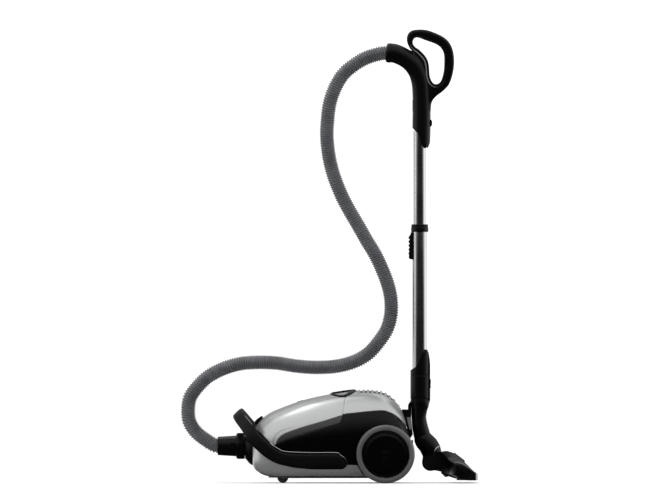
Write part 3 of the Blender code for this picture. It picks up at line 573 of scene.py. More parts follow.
def bent_tube(x, y, z, rows):
    """Distance from a round tube of changing radius along (x, z, radius) rows."""
    best = None
    for (ax, az, ar), (bx, bz, br) in zip(rows, rows[1:]):
        ex, ez = bx - ax, bz - az
        t = np.clip(((x - ax) * ex + (z - az) * ez) / (ex * ex + ez * ez), 0, 1)
        off = np.sqrt((x - ax - t * ex) ** 2 + y ** 2 + (z - az - t * ez) ** 2)
        gap = off - ar - t * (br - ar)
        best = gap if best is None else np.minimum(best, gap)
    return best


def blend_min(a, b, k):
    h = np.clip(0.5 + 0.5 * (b - a) / k, 0, 1)
    return b * (1 - h) + a * h - k * h * (1 - h)


def blend_max(a, b, k):
    return -blend_min(-a, -b, k)


def tube_sections(line, radius, sides, up=(0, 0, 1.0)):
    """Round sections square to a 3-D line."""
    line = np.asarray(line, float)
    run = unit(np.gradient(line, axis=0))
    side = unit(np.cross(run, np.broadcast_to(up, run.shape)))
    rise = np.cross(side, run)
    turn = full_turn(sides)[None, :, None]
    r = np.broadcast_to(radius, len(line))[:, None, None]
    return line[:, None] + r * np.cos(turn) * side[:, None] + r * np.sin(turn) * rise[:, None]


def strip(name, line, radius, sides, body, look, stands_for=(), up=(0, 0, 1.0)):
    """A thin round strip along a 3-D line."""
    return piece(name, rings_shape(tube_sections(line, radius, sides, up)), body, look, stands_for)


def button_well(x, y, z, floor, half, middle, reach):
    """Field of a button's well that is open towards +X."""
    return np.maximum(np.maximum(floor - x, np.abs(y) - half), np.abs(z - middle) - reach)


def surface_reach(field, path, start):
    """How far out in y the field's surface lies at each (x, z) point of a path."""
    low, high = np.full(len(path), start), np.full(len(path), 30.0)
    for _ in range(24):
        mid = (low + high) / 2
        inside = field(path[:, 0], mid, path[:, 1]) < 0
        low, high = np.where(inside, mid, low), np.where(inside, high, mid)
    return low


# ---------------------------------------------------------------- materials

def new_look(name, color, rough, metal=0.0, coat=0.0, coat_rough=0.04, specular=0.5, spin=0.0,
             coat_ior=1.5, ior=1.5):
    mat = bpy.data.materials.new(name)
    mat.use_nodes = True
    shader = mat.node_tree.nodes["Principled BSDF"]
    values = {"Base Color": (*color, 1.0), "Roughness": rough, "Metallic": metal,
              "Coat Weight": coat, "Coat Roughness": coat_rough, "Specular IOR Level": specular,
              "Anisotropic": spin, "Coat IOR": coat_ior, "IOR": ior}
    for key, value in values.items():
        shader.inputs[key].default_value = value
    return mat


def node(mat, kind, **values):
    """A new shader node of a material or world, with its inputs or properties set."""
    made = mat.node_tree.nodes.new("ShaderNode" + kind)
    for key, value in values.items():
        if key in made.inputs:
            made.inputs[key].default_value = value
        else:
            setattr(made, key.lower(), value)
    return made


def link(mat, out, into):
    mat.node_tree.links.new(out, into)


def noise(mat, scale, stretch=(1, 1, 1), detail=3.0):
    """Noise in row-frame space; scale is per metre."""
    coords = node(mat, "TexCoord")
    place = node(mat, "Mapping", Scale=stretch)
    link(mat, coords.outputs["Object"], place.inputs["Vector"])
    made = node(mat, "TexNoise", Scale=scale, Detail=detail)
    link(mat, place.outputs["Vector"], made.inputs["Vector"])
    return made.outputs["Fac"]


def ramp(mat, value, low, high, out_low, out_high, steps="LINEAR"):
    """Takes low..high to out_low..out_high."""
    made = node(mat, "MapRange", Interpolation_type=steps)
    link(mat, value, made.inputs["Value"])
    for key, number in (("From Min", low), ("From Max", high), ("To Min", out_low),
                        ("To Max", out_high)):
        made.inputs[key].default_value = number
    return made.outputs["Result"]


def product(mat, first, second):
    made = node(mat, "Math", Operation="MULTIPLY")
    link(mat, first, made.inputs[0])
    link(mat, second, made.inputs[1])
    return made.outputs[0]


def tint(mat, factor, first, second):
    """Mixes a colour, or another node's colour, with a second colour."""
    made = node(mat, "Mix")
    made.data_type = "RGBA"
    link(mat, factor, made.inputs["Factor"])
    if isinstance(first, tuple):
        made.inputs["A"].default_value = (*first, 1.0)
    else:
        link(mat, first, made.inputs["A"])
    made.inputs["B"].default_value = (*second, 1.0)
    return made.outputs["Result"]


def cells(mat, scale):
    """Small random cells in row-frame space."""
    coords = node(mat, "TexCoord")
    made = node(mat, "TexVoronoi", Scale=scale)
    link(mat, coords.outputs["Object"], made.inputs["Vector"])
    return made.outputs


def bump(mat, height, strength, reach, before=None):
    made = node(mat, "Bump", Strength=strength, Distance=reach * MM)
    link(mat, height, made.inputs["Height"])
    if before is not None:
        link(mat, before, made.inputs["Normal"])
    return made.outputs["Normal"]


def shader_of(mat):
    return mat.node_tree.nodes["Principled BSDF"].inputs


def scaled(color, k):
    return tuple(min(1.0, c * k) for c in color)


def plastic(name, color, rough, coat=0.0, grain=0.0, grain_scale=2600.0, worn=0.0, mottle=0.12,
            scuff=0.08, ior=1.5, metal=0.0):
    """Moulded plastic: mottled tone, fine grain, hairline scuffs and lighter worn edges."""
    mat = new_look(name, color, rough, metal=metal, coat=coat, coat_ior=1.15, ior=ior)
    shader = shader_of(mat)
    tone = tint(mat, ramp(mat, noise(mat, 28), 0.3, 0.7, 0, 1), scaled(color, 1 - mottle),
                scaled(color, 1 + mottle))
    if worn:
        edges = node(mat, "NewGeometry").outputs["Pointiness"]
        amount = ramp(mat, edges, 0.53, 0.62, 0.0, worn)
        tone = tint(mat, amount, tone, scaled([c + 0.012 for c in color], 2.0))
    link(mat, tone, shader["Base Color"])
    hair = noise(mat, 260, (1, 1, 9), 5)
    link(mat, ramp(mat, hair, 0.35, 0.75, rough - scuff * 0.5, rough + scuff), shader["Roughness"])
    normal = bump(mat, noise(mat, 95, detail=2), 0.05, 0.4)
    if grain:
        normal = bump(mat, cells(mat, grain_scale)["Distance"], grain, 0.12, normal)
        normal = bump(mat, noise(mat, grain_scale * 0.45, detail=4), grain * 0.7, 0.1, normal)
    link(mat, normal, shader["Normal"])
    return mat


def flake_paint(name, color, rough):
    """Silver paint: bright metal flakes of many tilts under a clear coat."""
    mat = new_look(name, color, rough, metal=0.6, coat=0.45, coat_rough=0.06, coat_ior=1.4)
    shader = shader_of(mat)
    glint = node(mat, "SeparateColor")
    link(mat, cells(mat, 5200.0)["Color"], glint.inputs["Color"])
    shade = ramp(mat, glint.outputs[0], 0, 1, 0.0, 1.0)
    link(mat, tint(mat, shade, scaled(color, 0.8), scaled(color, 1.2)), shader["Base Color"])
    link(mat, ramp(mat, noise(mat, 180, (1, 1, 6), 5), 0.3, 0.75, rough - 0.03, rough + 0.07),
         shader["Roughness"])
    normal = bump(mat, glint.outputs[1], 0.05, 0.08)
    link(mat, bump(mat, noise(mat, 60, detail=2), 0.04, 0.4, normal), shader["Normal"])
    return mat


def drawn_metal(name, color, rough, spin=0.0, lines=(900, 900, 6), depth=0.06):
    """Drawn or turned metal: long fine lines, faint smears and fingerprints."""
    mat = new_look(name, color, rough, metal=1.0, spin=spin)
    shader = shader_of(mat)
    streak = noise(mat, 1.0, lines, 6)
    smear = noise(mat, 34, (1, 1, 0.4), 4)
    both = product(mat, streak, smear)
    link(mat, ramp(mat, both, 0.1, 0.45, rough - 0.05, rough + 0.12),
         shader["Roughness"])
    link(mat, tint(mat, smear, scaled(color, 0.93), scaled(color, 1.05)), shader["Base Color"])
    link(mat, bump(mat, streak, depth, 0.1), shader["Normal"])
    return mat


def fibrous(name, color, rough, scale=900.0, depth=0.5, stretch=(1, 1, 1)):
    """Paper, fleece or hair: tangled fibres with an uneven tone."""
    mat = new_look(name, color, rough, specular=0.2)
    shader = shader_of(mat)
    fibre = noise(mat, scale, stretch, 8)
    cloud = noise(mat, 45, detail=5)
    tone = ramp(mat, product(mat, fibre, cloud), 0.12, 0.4, 0, 1)
    link(mat, tint(mat, tone, scaled(color, 0.72), scaled(color, 1.12)), shader["Base Color"])
    link(mat, bump(mat, fibre, depth, 0.25), shader["Normal"])
    shader["Sheen Weight"].default_value = 0.25
    return mat


LOOKS = {
    "silver": flake_paint("silver_paint", (0.47, 0.475, 0.478), 0.32),
    # painted shade: a dark silver that stands in for the shade on the lid's turned-under lower
    # band
    "shade": flake_paint("silver_paint_painted_shade", (0.034, 0.035, 0.036), 0.3),
    "gloss": plastic("gloss_black_plastic", (0.0012, 0.0012, 0.0014), 0.16, coat=0.5, worn=0.12,
                     scuff=0.05, ior=1.22),
    "satin": plastic("satin_black_plastic", (0.0022, 0.0022, 0.0025), 0.32, grain=0.22, worn=0.25,
                     ior=1.27),
    "grained": plastic("grained_black_plastic", (0.0025, 0.0025, 0.0028), 0.44, grain=0.5,
                       grain_scale=1500.0, worn=0.3, ior=1.24),
    # grey plastic for the bracket insert, and for thin strips that are painted highlights on the
    # bumper, handle loop and floor tool
    "grey_inlay_and_painted_highlight": plastic("grey_inlay_and_painted_highlight_plastic", (0.16, 0.16, 0.165), 0.32, grain=0.15, worn=0.2),
    "hose": plastic("hose_plastic", (0.17, 0.173, 0.184), 0.27, grain=0.12, worn=0.25,
                    mottle=0.2, scuff=0.14, ior=1.4, metal=0.5),
    "tread": plastic("tyre_rubber", (0.085, 0.085, 0.087), 0.4, grain=0.35,
                     grain_scale=1900.0, worn=0.25, scuff=0.14, ior=1.5),
    "edge": plastic("soft_edge_rubber", (0.42, 0.42, 0.42), 0.62, grain=0.2, worn=0.1),
    "chrome": drawn_metal("bright_plate", (0.46, 0.46, 0.465), 0.2, depth=0.02),
    "tube": drawn_metal("drawn_tube", (0.5, 0.5, 0.51), 0.16, spin=0.3),
    "steel": drawn_metal("plain_steel", (0.5, 0.5, 0.51), 0.34, lines=(400, 30, 400)),
    "sole": drawn_metal("sole_steel", (0.56, 0.56, 0.57), 0.28, lines=(60, 900, 60)),
    "window": plastic("smoked_window", (0.02, 0.004, 0.004), 0.08, coat=0.9, scuff=0.04),
    "paper": fibrous("bag_paper", (0.7, 0.62, 0.48), 0.88, 700.0, 0.35),
    "fleece": fibrous("filter_fleece", (0.83, 0.84, 0.83), 0.95, 1400.0, 0.8),
    "moulded": plastic("motor_plastic", (0.11, 0.115, 0.12), 0.55, grain=0.3, worn=0.3),
    "hair": fibrous("brush_hair", (0.05, 0.048, 0.046), 0.7, 1600.0, 0.4, (1, 1, 0.05)),
}


# ---------------------------------------------------------------- camera

VIEW_AIM = (-0.044, 0.0, 0.574)
VIEW_WIDTH, VIEW_REACH = 1.610, 30.0       # metres across the picture and to the eye
VIEW_RISE = -0.5                           # degrees, the eye a little below the aim
SENSOR = 36.0


def make_camera():
    lens = bpy.data.cameras.new("camera")
    lens.sensor_width = SENSOR
    lens.lens = SENSOR * VIEW_REACH / VIEW_WIDTH
    lens.clip_end = 200.0
    eye = bpy.data.objects.new("camera", lens)
    rise = math.radians(VIEW_RISE)
    aim = Vector(VIEW_AIM)
    eye.location = aim + Vector((0, -math.cos(rise), math.sin(rise))) * VIEW_REACH
    eye.rotation_euler = (aim - eye.location).to_track_quat("-Z", "Y").to_euler()
    bpy.context.scene.collection.objects.link(eye)
    bpy.context.scene.camera = eye


make_camera()


# ---------------------------------------------------------------- hose

HOSE_PITCH = 5.6
VALLEY = -3.0
RIB = [
    # part of the pitch, depth
    (0.0, VALLEY), (0.14, -2.8), (0.28, -1.1), (0.4, -0.1), (0.5, 0.0), (0.6, -0.1),
    (0.72, -1.1), (0.86, -2.8),
]


def hose_centre():
    """Dense centreline of the whole hose and the distance along it."""
    flat = curve_through(HOSE_LINE, 2400)
    line = np.stack([flat[:, 0], np.zeros(len(flat)), flat[:, 1]], 1)
    return line, travel(line)


def ribbed_hose(name, start, end, line, reach, stands_for):
    """Ribbed tube over part of the centreline, valleys at both of its ends."""
    ribs = round((end - start) / HOSE_PITCH)
    at = np.array([start + (end - start) * (i + t) / ribs for i in range(ribs) for t, _ in RIB]
                  + [end])
    depth = [d for _ in range(ribs) for _, d in RIB] + [VALLEY]

    def spots(where):
        return np.stack([np.interp(where, reach, line[:, k]) for k in range(3)], 1)

    spot = spots(at)
    run = unit(spots(at + 3) - spots(at - 3))
    side = np.array([0, 1.0, 0])
    up = np.cross(run, side)
    turn = full_turn(48)[None, :, None]
    r = (HOSE_R + np.array(depth))[:, None, None]
    rings = spot[:, None] + r * (np.cos(turn) * up[:, None] + np.sin(turn) * side)
    obj = piece(name, rings_shape(rings), None, "hose", stands_for, angle=60)
    path = spot[::8] if len(spot) % 8 == 1 else np.vstack([spot[::8], spot[-1:]])
    return obj, [tuple(p * MM) for p in path]


def make_hose():
    line, reach = hose_centre()
    split = reach[-1] * HOSE_SPLIT
    parts = (
        ("hose_low", 0.0, split, "hose_lower", "canister", "wand_lower",
         (-0.30, 0, 0.20), (0.10, 0, 0.49)),
        ("hose_high", split, reach[-1], "hose_upper", "wand_lower", "wand_upper",
         (0.0, 0, 0.52), (0.0, 0, 1.0)),
    )
    for name, start, end, stands_for, first, second, low, high in parts:
        obj, path = ribbed_hose(name, start, end, line, reach, stands_for)
        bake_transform(obj)


make_hose()


# ---------------------------------------------------------------- canister shell

def upright_line(*parts):
    """Side-view outline from smoothed stretches joined at their ends."""
    out = []
    for part in parts:
        dense = curve_through(part, max(2, len(part) * 8)) if len(part) > 2 else np.array(part)
        out.extend(dense.tolist() if not out else dense.tolist()[1:])
    if np.linalg.norm(np.subtract(out[0], out[-1])) < 0.01:
        out.pop()
    return out


def oval(grow):
    return column_shape(ellipse(OVAL_X, 0, OVAL_A + grow, OVAL_B + grow), 150, 260)


def round_cut(spot, axis, radius, reach):
    return lathe_shape([(0, reach), (radius, reach), (radius, -reach), (0, -reach)], spot, axis,
                       48, soft=0.0)


LID_FOLD = [(-13, 166), (-60, 151), (-105, 138), (-145, 124.5), (-160, 117), (-169.5, 108.5),
            (-174.5, 100), (-176, 93.2)]


def make_lid():
    lip = OVAL_B + 1.2
    x0, x1, half = INDICATOR
    line = upright_line([(-5, 250)] + [SEAM[0]], SEAM[:2] + [(-13, 166)], LID_FOLD,
                        [LID_FOLD[-1], LID_EDGE[-1]],
                        [LID_EDGE[-1], (-226, 135), (-250, 150)],
                        [(-250, 150), (-250, 250)], [(-250, 250), (-5, 250)])
    cuts = [oval(GAP + 0.8), box_shape((OVAL_X - 0.6, 5), (-lip - 0.8, lip + 0.8), (150, 260)),
            box_shape((x0 - 1.1, x1 + 1.1), (-half - 1.1, half + 1.1), (150, 260))]
    piece("lid_shell", panel(line, cuts), "lid_body", "silver", "lid")
    fold = upright_line([(-13, 166), (-16, 154), (-20, 146)], LID_EDGE[:-1],
                        [LID_EDGE[-2], LID_FOLD[-1]], LID_FOLD[::-1])
    for side, tag in SIDES:
        mark = curve_through([(-182.6, 95), (-181.4, 106), (-175.5, 117.7), (-163.8, 127),
                              (-149.8, 132), (-131, 137.6)], 60)
        line = np.array([(x, side * body_y(x, z), z) for x, z in mark])
        strip("lid_line_" + tag, line, np.linspace(0.55, 0.2, 60), 8, "lid_body", "satin")
    # The lower band is set in a little and coloured dark silver; the dark tone is painted shade
    # for its turned-under face.
    piece("lid_fold", panel(fold, (), inset=1.4, depth=2.4, edge=1.0), "lid_body", "shade")


def make_rear_cover():
    x0, x1, half = GRILLE
    line = upright_line([(-5, 250), SEAM[0]], SEAM[:3], [(-13, 168)] + REAR_EDGE[1:],
                        [REAR_EDGE[-1], (170, 118)], [(170, 118), (170, 250)],
                        [(170, 250), (-5, 250)])
    g = GAP + 0.8
    cuts = [oval(g), box_shape((x0 - g, x1 + g), (-half - g, half + g), (150, 260))]
    piece("rear_cover_shell", panel(line, cuts), "canister", "silver", "rear_cover")


def make_side(name, side):
    line = upright_line(LID_EDGE[::-1], [(-20, 146), (-16, 154), (-13, 168)], REAR_EDGE,
                        [REAR_EDGE[-1], (150, 110), (175, 60)], [(175, 60), (175, 5)],
                        [(175, 5), (46, 5)], [(46, 5), (22, 44)], WAIST_LINE[::-1],
                        [WAIST_LINE[0], LID_EDGE[-1]])
    y = (0.5, 200.0) if side > 0 else (-200.0, -0.5)
    cuts = [box_shape((10, 180), (-96.8, 96.8), (-5, 44.2)),
            box_shape((118, 180), (-90.8, 90.8), (43, 170)),
            round_cut((WHEEL_X, 0, WHEEL_R), "Y", 6.4, 170)]
    piece(name + "_shell", panel(line, cuts, y), "canister", "gloss", name)


def make_tub():
    line = upright_line([(-245, -5), (175, -5)], [(175, -5), (175, 44)],
                        [(175, 44), WAIST_LINE[-1]], WAIST_LINE[::-1],
                        [(-184, 68), (-206, 88), (-232, 98), (-245, 98)],
                        [(-245, 98), (-245, -5)])
    field = [(21, 44.6), (45, 4), (180, 4), (180, 60), (21, 60)]
    cuts = [prism_shape(field, 94.8, 200), prism_shape(field, -200, -94.8),
            round_cut((-232, 0, INLET_Z), "X", 22.4, 60),
            round_cut((CASTER_X, 0, 12), "Z", 27.2, 30)]
    piece("lower_tub_shell", panel(line, cuts), "canister", "silver", "lower_tub")
    # Painted shadow: a black band over the tub's lowest strip stands in for the shadow under the
    # body.
    underside_shadow_outline = upright_line([(-217, 27), (-200, 20.8), (-180, 18), (-150, 17), (30, 16.8)],
                         [(30, 16.8), (60, 16.8)], [(60, 16.8), (60, -5)], [(60, -5), (-217, -5)],
                         [(-217, -5), (-217, 27)])
    piece("tub_skirt", panel(underside_shadow_outline, cuts, inset=-0.5, depth=1.6), "canister", "satin")


def make_front():
    line = [(-184, 92), (-226, 135), (-250, 150), (-250, 98), (-232, 98), (-206, 88), (-184, 68)]
    cuts = [round_cut((-232, 0, INLET_Z), "X", 22.4, 60)]
    piece("front_panel_shell", panel(line, cuts), "canister", "gloss", "front_panel")


def make_rear():
    line = [(118, 44), (175, 44), (175, 110), (144, 134), (133, 150), (118, 163)]
    cuts = [round_cut((150, 56, 92), "X", 10.2, 30)]
    piece("rear_panel_shell", panel(line, cuts, (-88.8, 88.8)), "canister", "grained",
          "rear_panel")


def half_oval(side, shrink_by):
    b = OVAL_B - 6 - shrink_by
    start = 9 + shrink_by
    first = math.asin(start / b)
    turn = np.linspace(first, math.pi - first, 40)
    a = np.where(np.cos(turn) > 0, OVAL_A - 15, OVAL_A - 5) - shrink_by
    return np.stack([OVAL_X + a * np.cos(turn), side * b * np.sin(turn)], 1)


def make_console():
    field = ellipse(OVAL_X, 0, OVAL_A, OVAL_B, 96)
    wells = [column_shape(half_oval(side, -0.8), 190, 260) for side in (-1, 1)]
    piece("console_ring", panel(field, wells, inset=-2.1, depth=6.5, plan=True), "canister",
          "satin", "console_bezel")
    front, rear, wide = OVAL_X - OVAL_A + 3, OVAL_X + OVAL_A - 3, 8.6
    rail = rounded([(front, 0), (front + 7, -wide), (rear - 7, -wide), (rear, 0),
                    (rear - 7, wide), (front + 7, wide)], 4)
    track = [box_shape((-29.6, 1.6), (-5.7, 5.7), (190, 260))]
    piece("console_rail", panel(rail, track, inset=-3.7, depth=3, edge=0.6, plan=True),
          "canister", "satin")
    for side, name, body in ((-1, "power_button", "power"), (1, "cord_rewind_button", "rewind")):
        line = half_oval(side, GAP)
        face = panel(line, (), inset=0.5, depth=3.3, edge=1.2, plan=True)
        piece(name + "_cap", face, body, "silver", name)


def make_indicator():
    x0, x1, half = INDICATOR
    line = [(x0, -half), (x1, -half), (x1, half), (x0, half)]
    piece("indicator_window", panel(line, (), inset=-0.8, depth=2.6, plan=True), "canister",
          "window", "bag_full_indicator")


def make_grille():
    x0, x1, half = GRILLE
    pitch = (x1 - x0 - 6) / 9
    line = [(x0, -half), (x1, -half), (x1, half), (x0, half)]
    slots = [box_shape((x0 + 3 + pitch * k + 2.4, x0 + 3 + pitch * (k + 1) - 2.4),
                       (-half + 6, half - 6), (150, 260)) for k in range(9)]
    base = panel(line, slots, inset=0.4, depth=2.6, edge=0.6, plan=True)
    piece("grille_plate", base, "grille", "silver", "exhaust_grille")
    line = [(x0 + 3, -half + 3), (x1 - 3, -half + 3), (x1 - 3, half - 3), (x0 + 3, half - 3)]
    piece("grille_screen", panel(line, (), inset=1.5, depth=1.2, edge=0.4, plan=True), "grille",
          "satin")
    blades = []
    y = np.linspace(-half + 2.5, half - 2.5, 41)
    for k in range(10):
        x = x0 + 3 + pitch * k
        wide, top, _ = body_size(np.array(x))
        crest = WAIST + (top - WAIST) * (1 - (np.abs(y) / wide) ** CROWN) ** (1 / CROWN)
        slope = (body_size(np.array(x + 2))[1] - body_size(np.array(x - 2))[1]) / 4
        lean = math.atan(slope)
        turn = full_turn(20)
        taper = np.clip((half - 2.5 - np.abs(y)) / 3.0, 0.12, 1) ** 0.5
        u = 3.0 * np.cos(turn)
        v = 1.5 * np.sin(turn)
        rings = [[(x + a * t * math.cos(lean) - b * t * math.sin(lean), yy,
                   c + 0.1 + a * t * math.sin(lean) + b * t * math.cos(lean))
                  for a, b in zip(u, v)] for yy, c, t in zip(y, crest, taper)]
        blades.append(rings_shape(rings))
    piece("grille_louvres", joined(*blades), "grille", "silver")


def make_latch():
    inner = [(-206.4, 160.4), (-217.6, 148.3), (-227.5, 134.8)]
    outer = [(-233.5, 134.5), (-234.0, 141.0), (-223.5, 154.5), (-211.0, 163.5)]
    line = rounded(inner + outer, 1.6)
    soft_edges(piece("latch_tab", prism_shape(line, -20, 20), "latch", "satin", "lid_latch",
                     angle=40), 1.2)


make_lid()
make_rear_cover()
make_side("side_panel_near", -1)
make_side("side_panel_far", 1)
make_tub()
make_front()
make_rear()
make_console()
make_indicator()
make_grille()
make_latch()


# ---------------------------------------------------------------- bumper, trim and fittings

RAIL = [
    # upper edge x, z, lower edge x, z, y of the middle line, thickness
    (-4, 46.5, -4, 41.5, 117, 9), (-10, 57, -12, 35, 117.5, 11), (-27, 71, -28, 34, 119, 12),
    (-84, 71, -82, 34, 122.5, 12), (-128, 72.5, -124, 37, 119.5, 12),
    (-157, 75, -150, 42, 115.5, 12.5), (-183, 89, -176, 49, 110, 13),
    (-206, 109, -206, 67, 104.5, 14), (-222, 127, -240, 99, 96.5, 15),
    (-227, 145, -251, 117, 88, 16), (-238, 159, -262, 133, 74, 17),
    (-247, 170, -271, 145, 54, 17), (-252.5, 176.5, -276.5, 153.5, 28, 17),
    (-254, 178.5, -278, 156, 0, 17),
]
RAIL_ROUND = 0.62                          # power of the rounded oblong section
TRIM = [
    (-190, 98.5), (-183, 91.7), (-170, 84.0), (-157, 77.8), (-128, 75.3), (-84, 74.2),
    (-29, 74.0), (-19, 68.5), (-8.8, 61), (-3.2, 52.5), (-0.6, 45),
]


def rail_rows(count):
    """RAIL's rows as (x, y, z) of both edges and the thickness, from one end to the other."""
    half = [(u, -y, v, p, -y, q, t) for u, v, p, q, y, t in RAIL]
    flip = [(a, -b, c, d, -e, f, t) for a, b, c, d, e, f, t in half[-2::-1]]
    return curve_through(half + flip, count)


def rail_frame(count):
    """Middle, upward and outward directions, half height and half thickness of the bumper."""
    rows = rail_rows(count)
    top, low = rows[:, 0:3], rows[:, 3:6]
    mid, up = (top + low) / 2, top - low
    tall = np.linalg.norm(up, axis=1)[:, None] / 2
    up = up / (2 * tall)
    out = np.cross(up, unit(np.gradient(mid, axis=0)))
    return mid, up, out, tall, rows[:, 6:7] / 2


def make_bumper():
    mid, up, out, tall, thick = rail_frame(190)
    turn = full_turn(56)
    u, v = signed_power(np.sin(turn), RAIL_ROUND), signed_power(np.cos(turn), RAIL_ROUND)
    rings = (mid[:, None] + up[:, None] * (tall * u)[..., None]
             + unit(out)[:, None] * (thick * v)[..., None])
    form = carve(rings_shape(rings), body_shape(-GAP, 96))
    piece("bumper_rail", form, "canister", "grained", "bumper_handle", angle=50)
    mid, up, out, tall, thick = rail_frame(480)
    # Painted highlight: a thin grey strip along the loop's upper inner edge stands in for the
    # light that edge catches.
    seat = mid + up * (tall * 0.66) + out * (thick - 0.5)
    for side, tag in SIDES:
        line = seat[(mid[:, 0] < -238) & (mid[:, 0] > -255) & (mid[:, 1] * side > 0)]
        thin = tapered(1.0, len(line), 0.15)
        strip("bumper_inlay_" + tag, line, thin, 12, "canister", "grey_inlay_and_painted_highlight")


def make_trim(name, side):
    points = [(x, side * (body_y(x, z) + 3.2), z) for x, z in TRIM]
    line = curve_through(points, 130)
    ease = np.minimum(1, steps_from_ends(130) / 3.0) ** 0.5
    radius = 1.5 * np.maximum(ease, 0.15)
    strip(name + "_strip", line, radius, 20, "canister", "chrome", name)


def make_inlet():
    rows = curve_through([(-232.3, 79, 36.5, 40), (-236, 80.5, 36.4, 39), (-242, 83.5, 34.6, 36),
                          (-248, 88, 31.8, 32), (-251, INLET_Z, 30.5, 30.5)], 22)
    turn = full_turn(80)
    rings = [[(x, ry * math.cos(t), cz + rz * math.sin(t)) for t in turn]
             for x, cz, rz, ry in rows]
    form = carve(rings_shape(rings), round_cut((-232, 0, INLET_Z), "X", 21.7, 60))
    soft_edges(piece("inlet_ring", form, "canister", "satin", "inlet_collar", angle=40), 0.8)


def make_bracket():
    outline = rounded([(153.4, 179), (131.5, 179), (131, 172), (134, 158), (141, 134), (149, 104),
                       (158, 118), (155.2, 140), (154.1, 157)], 1.5)
    form = carve(prism_shape(outline, -19, 19), body_shape(0.12, 96),
                 box_shape((144.6, 160), (-10, 10), (155, 190)))
    soft_edges(piece("bracket_plate", form, "canister", "satin", "parking_bracket", angle=40), 0.7)
    insert = rounded([(143, 160), (153.4, 160), (153.8, 130), (150, 130)], 1.0)
    piece("bracket_insert", prism_shape(insert, -19.5, 19.5), "canister", "grey_inlay_and_painted_highlight")


def make_outlet():
    piece("outlet_ring", lathe_shape([(12.5, 3.4), (12.5, 0), (9, 0), (9, -8), (5, -8), (5, 3.4)],
                                     (155.5, 56, 92), "X", 48, 0.7), "canister", "satin",
          "cord_outlet")


# ---------------------------------------------------------------- wheels and caster

def make_wheel(side, tag):
    centre = (WHEEL_X, 0, WHEEL_R)
    body = "wheel_" + tag
    tyre = [(57.5, 118), (57.5, 140.5), (58.5, 143.8), (60.6, 146.0), (63.6, 147.0),
            (66.6, 146.1), (69.0, 143.4), (70.5, 139.6), (71.0, 135.8), (71.0, 134.6),
            (70.1, 134.1), (70.1, 132.9), (71.0, 132.4), (71.0, 128.6),
            (70.1, 128.1), (70.1, 126.9), (71.0, 126.4), (71.0, 122), (69.6, 119.2), (67.5, 118)]
    hub = [(0, 148.4), (7.0, 148.4), (8.2, 147.6), (9.4, 148.2), (30, 148.0), (44, 146.8),
           (49.4, 145.2), (51.0, 142.6), (52.4, 142.4), (53.4, 143.6), (55.0, 143.0),
           (56.4, 141.2), (57.1, 139.0), (57.1, 119), (5.8, 119), (5.8, 141), (0, 141)]
    for name, profile, look, soft in (("tyre_", tyre, "tread", 0.7), ("hub_", hub, "gloss", 0.9)):
        shape = lathe_shape([(r, side * h) for r, h in profile], centre, "Y", 144, soft)
        piece("wheel_" + name + tag + "_fine", shape, body, look, "wheel_" + name + tag,
              angle=28)


def make_caster():
    at = (CASTER_X + CASTER_TRAIL, 0, CASTER_R)
    tread = [(14, 4.2), (14, -4.2), (12.4, -7), (4.5, -7), (4.2, -5.6), (2.6, -5.6), (2.6, 5.6),
             (4.2, 5.6), (4.5, 7), (12.4, 7)]
    piece("caster_tread", lathe_shape(tread, at, "Y", 72, 0.8), "caster_roller", "tread",
          "caster_wheel")


# ---------------------------------------------------------------- hose ends

def make_connector():
    ribs = []
    for k in range(5):
        x = 74.5 - 2.2 * k
        ribs += [(21.4, x + 0.7), (20.7, x + 0.4), (20.7, x - 0.7), (21.4, x - 1.0)]
    profile = [(21.0, 84), (21.4, 76), *ribs, (21.4, 63.4), (31.5, 62.4), (31.8, 58),
               (31.8, 47), (30.6, 43), (25.2, 41), (24.6, 30), (23.6, 14), (22.9, 4), (22.6, -2.2),
               (21.8, -3.4), (19.0, -3.4), (18.9, -0.5), (16.5, -0.5), (16.5, 84)]
    form = lathe_shape(profile, (-314.5, 0, INLET_Z), "X", 96, 0.9)
    low, high = INLET_Z - 7 - GAP, INLET_Z + 7 + GAP
    wells = [box_shape((-287.4, -275.6), sorted((s * 20.0, s * 40.0)), (low, high))
             for s in (-1, 1)]
    piece("connector_body", carve(form, *wells), "connector", "satin", "hose_connector")


def make_hose_collar():
    x, z, _ = STEM[-1]
    profile = [(18.9, 11.6), (22.2, 10.8), (23.5, 8.2), (23.8, 3.6), (23.75, 0.06), (16.6, 0.06),
               (16.6, 6.2), (18.9, 6.2)]
    piece("hose_swivel_ring", lathe_shape(profile, (x, 0, z), "Z", 80, 0.3, lean=CUFF_LEAN),
          "hose_swivel", "satin", "handle_hose_collar")


# ---------------------------------------------------------------- handle

GRIP_WEB = [(158, 1044), (158.5, 1051.5), (164, 1060), (176, 1062), (196, 1030), (190, 1002),
            (172, 1004)]
BORE_R = 16.6                              # the tube's and the hose end's seats
CUFF_FLARE = [(124.0, 1044.0, 23.0), (111.5, 1048.2, 23.2), (104.8, 1048.6, 23.4)]


